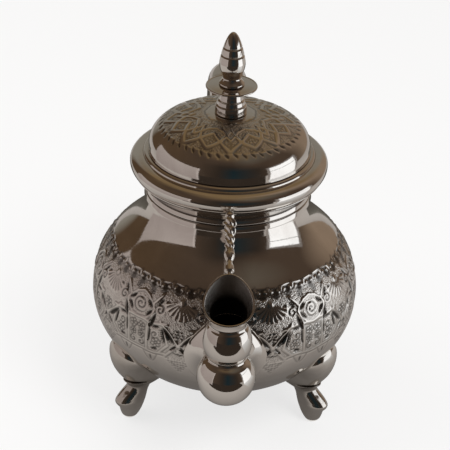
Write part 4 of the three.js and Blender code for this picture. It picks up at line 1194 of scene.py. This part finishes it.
# Bridge: leafy beads, a twisted shaft, a teardrop and a bell foot
bridge = {"topRise": 4.0, "topStandoff": 4.4, "radius": 3.2, "sag": 1.6, "seat": 0.9}
bridgeShares = [
    (0, 0.25), (0.03, 0.6), (0.07, 0.8), (0.11, 0.62), (0.15, 0.95), (0.19, 1), (0.23, 0.7), (0.27, 0.95),
    (0.31, 0.85), (0.35, 0.6), (0.4, 0.8), (0.45, 0.62), (0.5, 0.76), (0.54, 0.62), (0.59, 0.8), (0.64, 0.9),
    (0.69, 0.76), (0.74, 0.5), (0.78, 0.62), (0.83, 0.8), (0.88, 0.84), (0.9, 0.7), (0.93, 0.42), (1, 0.4)]


def bridgePiece():
    top = np.array([0, -(collar["rim"] + bridge["topStandoff"]), collarTop + bridge["topRise"]])
    seat = beakRing(bridge["seat"], -beak["wall"], 4)[1]
    middle = (top + seat) / 2
    middle[2] -= bridge["sag"]
    t = np.linspace(0, 1, 161)[:, None]
    line = top * (1 - t) ** 2 + 2 * middle * t * (1 - t) + seat * t ** 2
    shares = smoothLine(bridgeShares, 10)
    wide = np.interp(t[:, 0], shares[:, 0], shares[:, 1]) * bridge["radius"]
    leafy = 0.2 * ((t[:, 0] > 0.1) & (t[:, 0] < 0.34)) + 0.15 * ((t[:, 0] >= 0.34) & (t[:, 0] < 0.6))
    leafy = np.convolve(leafy, np.ones(5) / 5, "same")
    mesh = sweptMesh("bridge", line, np.stack([wide] * 3, 1), leafy,
                     {"Sections": 260, "Sides": 40, "Flutes": 5.0, "Twist turns": 9.0}, castSilver)
    return seatedInBeak(mesh)


def seatedInBeak(mesh):
    # the foot stops in the beak's wall, under its rim
    points = np.array([v.co[:] for v in mesh.vertices]) * 1000
    points[:, 1] -= axisY * 1000
    out = points[:, 1] + spoutRadius
    angle = np.arctan2(out, points[:, 0])
    rim = beak["height"] + beak["backRise"] * np.clip(np.sin(angle), 0, 1)
    near = out > 0
    along = np.clip((points[:, 2] - beakBase) / rim, 0, 1)
    flare = along ** 1.5
    half = beak["half"] * (1 - 0.2 * np.sin(angle))
    wallX = (spout["groove"] + (half - spout["groove"]) * flare) * np.cos(angle)
    wallY = (spout["groove"] + (beak["back"] - spout["groove"]) * flare) * np.sin(angle)
    wall = np.hypot(wallX, wallY) - 0.4
    here = np.hypot(points[:, 0], out)
    grow = np.where(near & (here < wall), wall / np.maximum(here, 1e-6), 1)
    points[:, 0] *= grow
    points[:, 1] = out * grow - spoutRadius
    lowered = near & (here * grow < wall + 0.8)
    points[:, 2] = np.where(lowered, np.minimum(points[:, 2], beakBase + rim - 0.5), points[:, 2])
    mesh.vertices.foreach_set("co", toMetres(points).ravel())
    return mesh


finished("bridge", bridgePiece(), castSilver, "pot", ["spout_bridge"], sharp=50)
print("bridge made")


# Feet
foot = {"height": 52.0, "setback": 27.3, "span": 24.1, "half": 12.3, "sides": 48, "rows": 220}
# shares of the height, of the reach outside and inside, and of the width
footShares = [
    (0, 0.68, 0.391, 0.29), (0.023, 0.718, 0.357, 0.37), (0.066, 0.756, 0.289, 0.45),
    (0.113, 0.782, 0.229, 0.5), (0.151, 0.812, 0.193, 0.53), (0.174, 0.866, 0.166, 0.54),
    (0.211, 0.902, 0.132, 0.54), (0.257, 0.854, 0.0999, 0.51), (0.311, 0.746, 0.0722, 0.48),
    (0.358, 0.638, 0.0289, 0.46), (0.396, 0.578, -0.0241, 0.47), (0.43, 0.608, -0.144, 0.57),
    (0.47, 0.686, -0.361, 0.67), (0.49, 0.674, -0.433, 0.68), (0.53, 0.734, -0.517, 0.75),
    (0.6, 0.842, -0.481, 0.85), (0.68, 0.933, -0.241, 0.94), (0.76, 0.987, 0.0602, 1),
    (0.83, 0.999, 0.301, 0.98), (0.9, 0.975, 0.505, 0.86), (0.955, 0.933, 0.602, 0.6), (1, 0.866, 0.722, 0.14)]
creaseShares = (0.445, 0.485)


def footPiece(name, turn):
    dense = smoothLine(footShares, 8)
    ups = np.linspace(0, 1, foot["rows"])
    columns = [np.interp(ups, dense[:, 0], dense[:, i]) for i in (1, 2, 3)]
    base = pot["radius"] - foot["setback"]
    rings, patinaAndShade = [], [0.0]
    angles = circleAngles(foot["sides"])
    cosTurn, sinTurn = math.cos(turn), math.sin(turn)
    for up, out, into, wide in zip(ups, *columns):
        outer, inner = base + foot["span"] * out, base + foot["span"] * into
        centre, reach = (outer + inner) / 2, (outer - inner) / 2
        # two creases under the knee, on its outer side
        crease = sum(math.exp(-((up - at) / 0.009) ** 2) for at in creaseShares)
        crease = crease * np.clip(np.cos(angles) * 1.6, 0, 1)
        x = centre + reach * np.cos(angles) * (1 - 0.07 * crease)
        y = foot["half"] * wide * np.sin(angles) * (1 - 0.07 * crease)
        height = np.full(len(x), foot["height"] * up)
        ring = np.stack([x * cosTurn - y * sinTurn, x * sinTurn + y * cosTurn, height], 1)
        rings.append(insideWall(ring, 0.4))
        # painted shade on the slope under the knee and in the creases
        slope = np.interp(up, (0.2, 0.36, 0.42, 0.48, 0.55), (0, 0.15, 0.35, 0.3, 0))
        patinaAndShade += list(np.clip(slope + crease, 0, 1))
    mesh = ringMesh(name, capped(rings))
    storeValues(mesh, "patinaAndShade", patinaAndShade + [0.0])
    return facingOut(mesh)


for i, name in enumerate(("foot_front_right", "foot_rear", "foot_front_left")):
    turn = -math.pi / 2 + (i + 0.5) / 3 * 2 * math.pi
    piece = footPiece(name.replace("foot_", "foot"), turn)
    finished("cast_" + name, piece, castSilver, "pot", [name], sharp=50)
print("feet made")


# Hinge behind the collar
hinge = {"barrel": 2.2, "pin": 0.9, "width": 18.0, "lidKnuckle": 6.0, "plate": 1.3, "leafRise": 7.0,
         "head": 1.6, "headThick": 0.8, "sides": 48}
hingeY = collar["rim"] + 5.9
hingeZ = collarTop + gap / 2


def barrelMesh(name, length, at, radius, bore):
    half = length / 2
    ease = 0.25
    rim = [(radius - ease, -half), (radius, -half + ease), (radius, half - ease), (radius - ease, half)]
    mesh = turnedMesh(name, [(bore, -half), *rim, (bore, half)], hinge["sides"], loop=bore > 0)
    x, y, z = (np.array([v.co[:] for v in mesh.vertices]) - np.array([0, axisY, 0])).T
    turned = np.stack([z + at * 0.001, x + hingeY * 0.001 + axisY, y + hingeZ * 0.001], 1)
    mesh.vertices.foreach_set("co", turned.ravel())
    return facingOut(mesh)


def plateMesh(name, outline, width, at):
    # flat plate across the hinge, with eased edges
    rings = []
    outline = rounded([*outline, outline[0], outline[1]], 0.5, 3)[1:-1]
    centre = outline.mean(0)
    for x, ease in ((-width / 2, 0.94), (-width / 2 + 0.3, 1), (width / 2 - 0.3, 1), (width / 2, 0.94)):
        eased = centre + (outline - centre) * ease
        rings.append(np.stack([np.full(len(eased), at + x), eased[:, 0], eased[:, 1]], 1))
    return facingOut(ringMesh(name, capped(rings)))


def bracketPiece():
    side = (hinge["width"] - hinge["lidKnuckle"]) / 2 - gap
    sideAt = (hinge["lidKnuckle"] + side) / 2 + gap
    bottom = hingeZ - hinge["barrel"] - hinge["plate"] - hinge["leafRise"] / 2
    web = hingeZ - hinge["barrel"] - gap
    innerLine = [(float(collarRadiusAt(z)) - 1.0, z) for z in np.linspace(web, bottom, 8)]
    webLow = web - hinge["plate"]
    saddle = [*innerLine, (hingeY - hinge["barrel"] - hinge["plate"], bottom), (hingeY, webLow),
              (hingeY, web)]
    parts = [plateMesh("saddle", saddle, hinge["width"], 0)]
    arm = [(hingeY - hinge["barrel"], webLow), (hingeY + hinge["plate"] / 2, webLow),
           (hingeY + hinge["barrel"] * 0.97, hingeZ), (hingeY - hinge["barrel"] * 0.97, hingeZ)]
    for at in (-sideAt, sideAt):
        parts.append(plateMesh("arm", arm, side, at))
        parts.append(barrelMesh("barrel", side, at, hinge["barrel"], hinge["pin"] + gap))
    return joined("hingeBracket", parts)


def leafPiece():
    top = lidBase + hinge["leafRise"]
    rimLow = [(float(np.interp(z, flangeOutside[:, 1], flangeOutside[:, 0])) - 0.8, z)
              for z in np.linspace(top, hingeZ + 1.6, 6)]
    face = flange["radius"] + gap + hinge["plate"]
    outline = [*rimLow, (hingeY - 1.2, hingeZ + 0.9), (hingeY + 0.8, hingeZ + 1.7),
               (face, top - hinge["plate"]), (face - hinge["plate"], top)]
    width = hinge["lidKnuckle"]
    knuckle = barrelMesh("middle", width, 0, hinge["barrel"], hinge["pin"] + gap)
    return joined("hingeLeaf", [plateMesh("leaf", outline, width, 0), knuckle])


def pinPiece():
    length = hinge["width"] + 2 * gap
    parts = [barrelMesh("shank", length, 0, hinge["pin"], 0)]
    for side in (-1, 1):
        at = side * (length / 2 + hinge["headThick"] / 2)
        parts.append(barrelMesh("head", hinge["headThick"], at, hinge["head"], 0))
    return joined("hingePin", parts)


finished("hingeBracket", bracketPiece(), silver, "pot", ["hinge_bracket"])
finished("hingeLeaf", leafPiece(), silver, "lid", ["hinge_leaf"])
finished("hingePin", pinPiece(), brass, "pot", ["hinge_pin"])
print("hinge made")


# Camera at the photograph's angle
view = {"distance": 1000.0, "elevation": 29.3, "azimuth": -1.4, "roll": 2.05, "target": (-0.9, 0.0, 110.4),
        "lens": 140.85, "sensor": 36, "clipEnd": 20}


def addCamera():
    a, e, r = [math.radians(view[k]) for k in ("azimuth", "elevation", "roll")]
    back = Vector((math.sin(a) * math.cos(e), -math.cos(a) * math.cos(e), math.sin(e)))
    level = Vector((math.cos(a), math.sin(a), 0))
    upright = back.cross(level)
    right = level * math.cos(r) + upright * math.sin(r)
    up = upright * math.cos(r) - level * math.sin(r)
    data = bpy.data.cameras.new("camera")
    data.lens = view["lens"]
    data.sensor_width = view["sensor"]
    data.clip_end = view["clipEnd"]
    camera = placed("camera", data)
    target = Vector(toMetres(view["target"])[0])
    turned = Matrix((right, up, back)).transposed().to_4x4()
    camera.matrix_world = Matrix.Translation(target + back * view["distance"] * 0.001) @ turned
    bpy.context.scene.camera = camera


addCamera()


# Floor, backdrop light and the room that the metal reflects
def glowMaterial():
    material = bpy.data.materials.new("card glow")
    tree = emptyTree(material)
    tone = addNode(tree, "ShaderNodeAttribute", (-200, 0), attribute_name="tone").outputs["Color"]
    glow = addNode(tree, "ShaderNodeEmission", (0, 0), {"Color": tone, "Strength": 1.0}).outputs[0]
    addNode(tree, "ShaderNodeOutputMaterial", (200, 0), {0: glow})
    return material


def whiteForViewers(tree, share):
    # 1 for rays that look at the background, straight or in metal, times a share
    path = addNode(tree, "ShaderNodeLightPath", (-700, 300)).outputs
    most = path["Is Camera Ray"]
    for label in ("Is Glossy Ray", "Is Transmission Ray"):
        most = mathNode(tree, (-500, 300), "MAXIMUM", most, path[label])
    return mathNode(tree, (-300, 300), "MULTIPLY", most, share)


floorLook = {"half": 4.0, "colour": (0.82, 0.81, 0.8, 1), "whiteShare": 0.72}


def addFloor():
    mesh = bpy.data.meshes.new("floor")
    half = floorLook["half"]
    corners = [(-half, -half, 0), (half, -half, 0), (half, half, 0), (-half, half, 0)]
    mesh.from_pydata(corners, [], [(0, 1, 2, 3)])
    floor = placed("floor", mesh)
    material = bpy.data.materials.new("pale floor")
    tree = emptyTree(material)
    pale = addNode(tree, "ShaderNodeBsdfDiffuse", (-200, 0), {"Color": floorLook["colour"]}).outputs[0]
    white = addNode(tree, "ShaderNodeEmission", (-200, -200), {"Strength": 1.0}).outputs[0]
    share = whiteForViewers(tree, floorLook["whiteShare"])
    mix = addNode(tree, "ShaderNodeMixShader", (100, 0), {0: share, 1: pale, 2: white}).outputs[0]
    addNode(tree, "ShaderNodeOutputMaterial", (300, 0), {0: mix})
    mesh.materials.append(material)


# surfaces round the table that glow and that only the metal sees; they give it its dark look
# name, azimuths from the camera's side, radius, heights of the bottom and of the top by azimuth, both colours
cards = [
    ("panel", (-115, -40.5), 440, ((-115, 0), (-40, 0)), ((-115, 300), (-40, 310)),
     (0.36, 0.31, 0.295), (0.43, 0.38, 0.36)),
    ("panelRim", (-42.5, -40), 437, ((-43, 0), (-40, 0)), ((-43, 314), (-40, 316)),
     (0.5, 0.45, 0.43), (0.56, 0.5, 0.48)),
    ("windowFrame", (50, 100), 446, ((50, 0), (100, 0)), ((50, 330), (100, 320)),
     (0.3, 0.27, 0.25), (0.22, 0.2, 0.19)),
    ("window", (54, 96), 440, ((54, 0), (96, 0)), ((54, 300), (96, 285)),
     (1.2, 1.22, 1.25), (1.2, 1.23, 1.27)),
    ("windowBar", (54, 96), 438, ((54, 196), (96, 194)), ((54, 204), (96, 202)),
     (0.25, 0.24, 0.23), (0.25, 0.24, 0.23)),
]
tones = {"dark": (0.035, 0.026, 0.02), "teal": (0.012, 0.024, 0.03), "brown": (0.07, 0.048, 0.034),
         "smoke": (0.11, 0.092, 0.072), "tan": (0.2, 0.137, 0.072), "light": (0.27, 0.2, 0.145),
         "patch": (0.091, 0.058, 0.034), "grey": (0.25, 0.232, 0.2)}
roomAzimuths = (-180, -147, -142, -112, -45, -15, 5, 40, 60, 100, 130, 150, 160, 180)
roomRows = [
    (-8, "grey grey patch patch brown dark teal dark brown brown light light grey grey"),
    (28, "grey grey patch patch brown dark teal dark brown brown light light grey grey"),
    (44, "tan tan patch patch brown dark dark brown brown brown light tan tan tan"),
    (62, "tan tan tan brown brown brown brown smoke smoke smoke light tan tan tan"),
    (90, "tan tan tan tan tan tan tan tan tan tan tan tan tan tan"),
]
room = {"radius": 1600, "centre": 90, "step": 5.0}
# distance from the pot's axis and brightness of the table, darker near the pot as a painted shadow under it
tableRings = ((0, 0.12), (60, 0.16), (90, 0.25), (120, 0.33), (170, 0.42), (260, 0.48), (430, 0.48),
              (1650, 0.38))
tableWarmth = (1, 0.93, 0.88)
# name, first, last and step of the azimuths, radii, height, a colour for each radius
tablePatches = [
    ("tableBehind", (135, 226, 5.0), (70, 300, 520), 2.6,
     [(0.08, 0.07, 0.06), (0.09, 0.08, 0.068), (0.16, 0.15, 0.13)]),
    ("tableShine", (53, 96, 3.0), (150, 270, 428), 2.2,
     [(0.4, 0.38, 0.36), (0.62, 0.62, 0.62), (0.8, 0.81, 0.83)]),
]
tableEdge = [[(-290, -240, 3), (270, -240, 3)], [(-1900, -1600, 3), (1800, -1600, 3)]]
cardGlow = glowMaterial()


def around(azimuth, radius, height):
    turn = np.radians(azimuth)
    return np.stack(np.broadcast_arrays(np.sin(turn) * radius, -np.cos(turn) * radius, height), -1)


def addCard(name, points, colours):
    # a grid of points that glows by itself and is seen by the metal only
    rows, columns = points.shape[:2]
    faces = [(r * columns + c, r * columns + c + 1, (r + 1) * columns + c + 1, (r + 1) * columns + c)
             for r in range(rows - 1) for c in range(columns - 1)]
    mesh = bpy.data.meshes.new(name)
    mesh.from_pydata(toMetres(points).tolist(), [], faces)
    tone = mesh.attributes.new("tone", "FLOAT_COLOR", "POINT")
    colours = np.broadcast_to(colours, points.shape)
    tone.data.foreach_set("color", np.concatenate([colours, np.ones((rows, columns, 1))], 2).ravel())
    mesh.materials.append(cardGlow)
    card = placed(name, mesh)
    card.visible_camera = card.visible_diffuse = card.visible_shadow = card.visible_transmission = False


def addCards():
    for name, azimuths, radius, bottoms, tops, low, high in cards:
        azimuth = np.linspace(*azimuths, max(int((azimuths[1] - azimuths[0]) / 3), 1) + 1)
        up = np.linspace(0, 1, 7)[:, None, None]
        bottom, top = [np.interp(azimuth, *np.array(line).T) for line in (bottoms, tops)]
        height = bottom + (top - bottom) * up[:, :, 0]
        addCard(name, around(azimuth, radius, height), np.array(low) * (1 - up) + np.array(high) * up)


def addRoom():
    azimuth, elevation = np.arange(-180, 181, room["step"]), np.arange(-8, 91, 3.5)[:, None]
    table = np.array([[tones[word] for word in words.split()] for _, words in roomRows])
    heights = [row[0] for row in roomRows]
    byAzimuth = np.stack([[np.interp(azimuth, roomAzimuths, row[:, i]) for row in table]
                          for i in range(3)], -1)
    colours = np.stack([[np.interp(elevation[:, 0], heights, byAzimuth[:, c, i]) for c in range(len(azimuth))]
                        for i in range(3)], -1).transpose(1, 0, 2)
    level = np.radians(elevation)
    height = room["centre"] + room["radius"] * np.sin(level)
    addCard("room", around(azimuth, room["radius"] * np.cos(level), height), colours)


def addTable():
    # the table's own glow, and over it the shade behind the pot, the window's shine and the far edge
    radius = np.array([r for r, _ in tableRings])[:, None]
    grey = np.array([g for _, g in tableRings])[:, None, None] * np.array(tableWarmth)
    addCard("table", around(np.arange(-180, 181, room["step"]), radius, 1.5), grey)
    for name, azimuths, radii, height, colours in tablePatches:
        points = around(np.arange(*azimuths), np.array(radii)[:, None], height)
        addCard(name, points, np.array(colours)[:, None])
    addCard("tableEdge", np.array(tableEdge, float), tones["dark"])


def addLight(name, position, size, power, aim=(0, 0, 0.09)):
    data = bpy.data.lights.new(name, "AREA")
    data.shape = "DISK"
    data.size = size
    data.energy = power
    lamp = placed(name, data)
    lamp.location = position
    direction = Vector(aim) - Vector(position)
    lamp.rotation_euler = direction.to_track_quat("-Z", "Y").to_euler()
    lamp.visible_glossy = False


def addWorld():
    world = bpy.data.worlds.new("studio")
    bpy.context.scene.world = world
    tree = emptyTree(world)
    colour = mixed(tree, (-200, 0), whiteForViewers(tree, 1.0), (0.55, 0.54, 0.53, 1), (1, 1, 1, 1))
    back = addNode(tree, "ShaderNodeBackground", (0, 0), {"Color": colour}).outputs[0]
    addNode(tree, "ShaderNodeOutputWorld", (200, 0), {0: back})


addFloor()
addCards()
addRoom()
addTable()
addWorld()
addLight("key", (0.7, -0.8, 1.5), 0.9, 16)
addLight("fill", (-1.1, 0.2, 1.2), 1.2, 8)
bpy.context.scene.view_settings.view_transform = "Standard"
print("stage set")
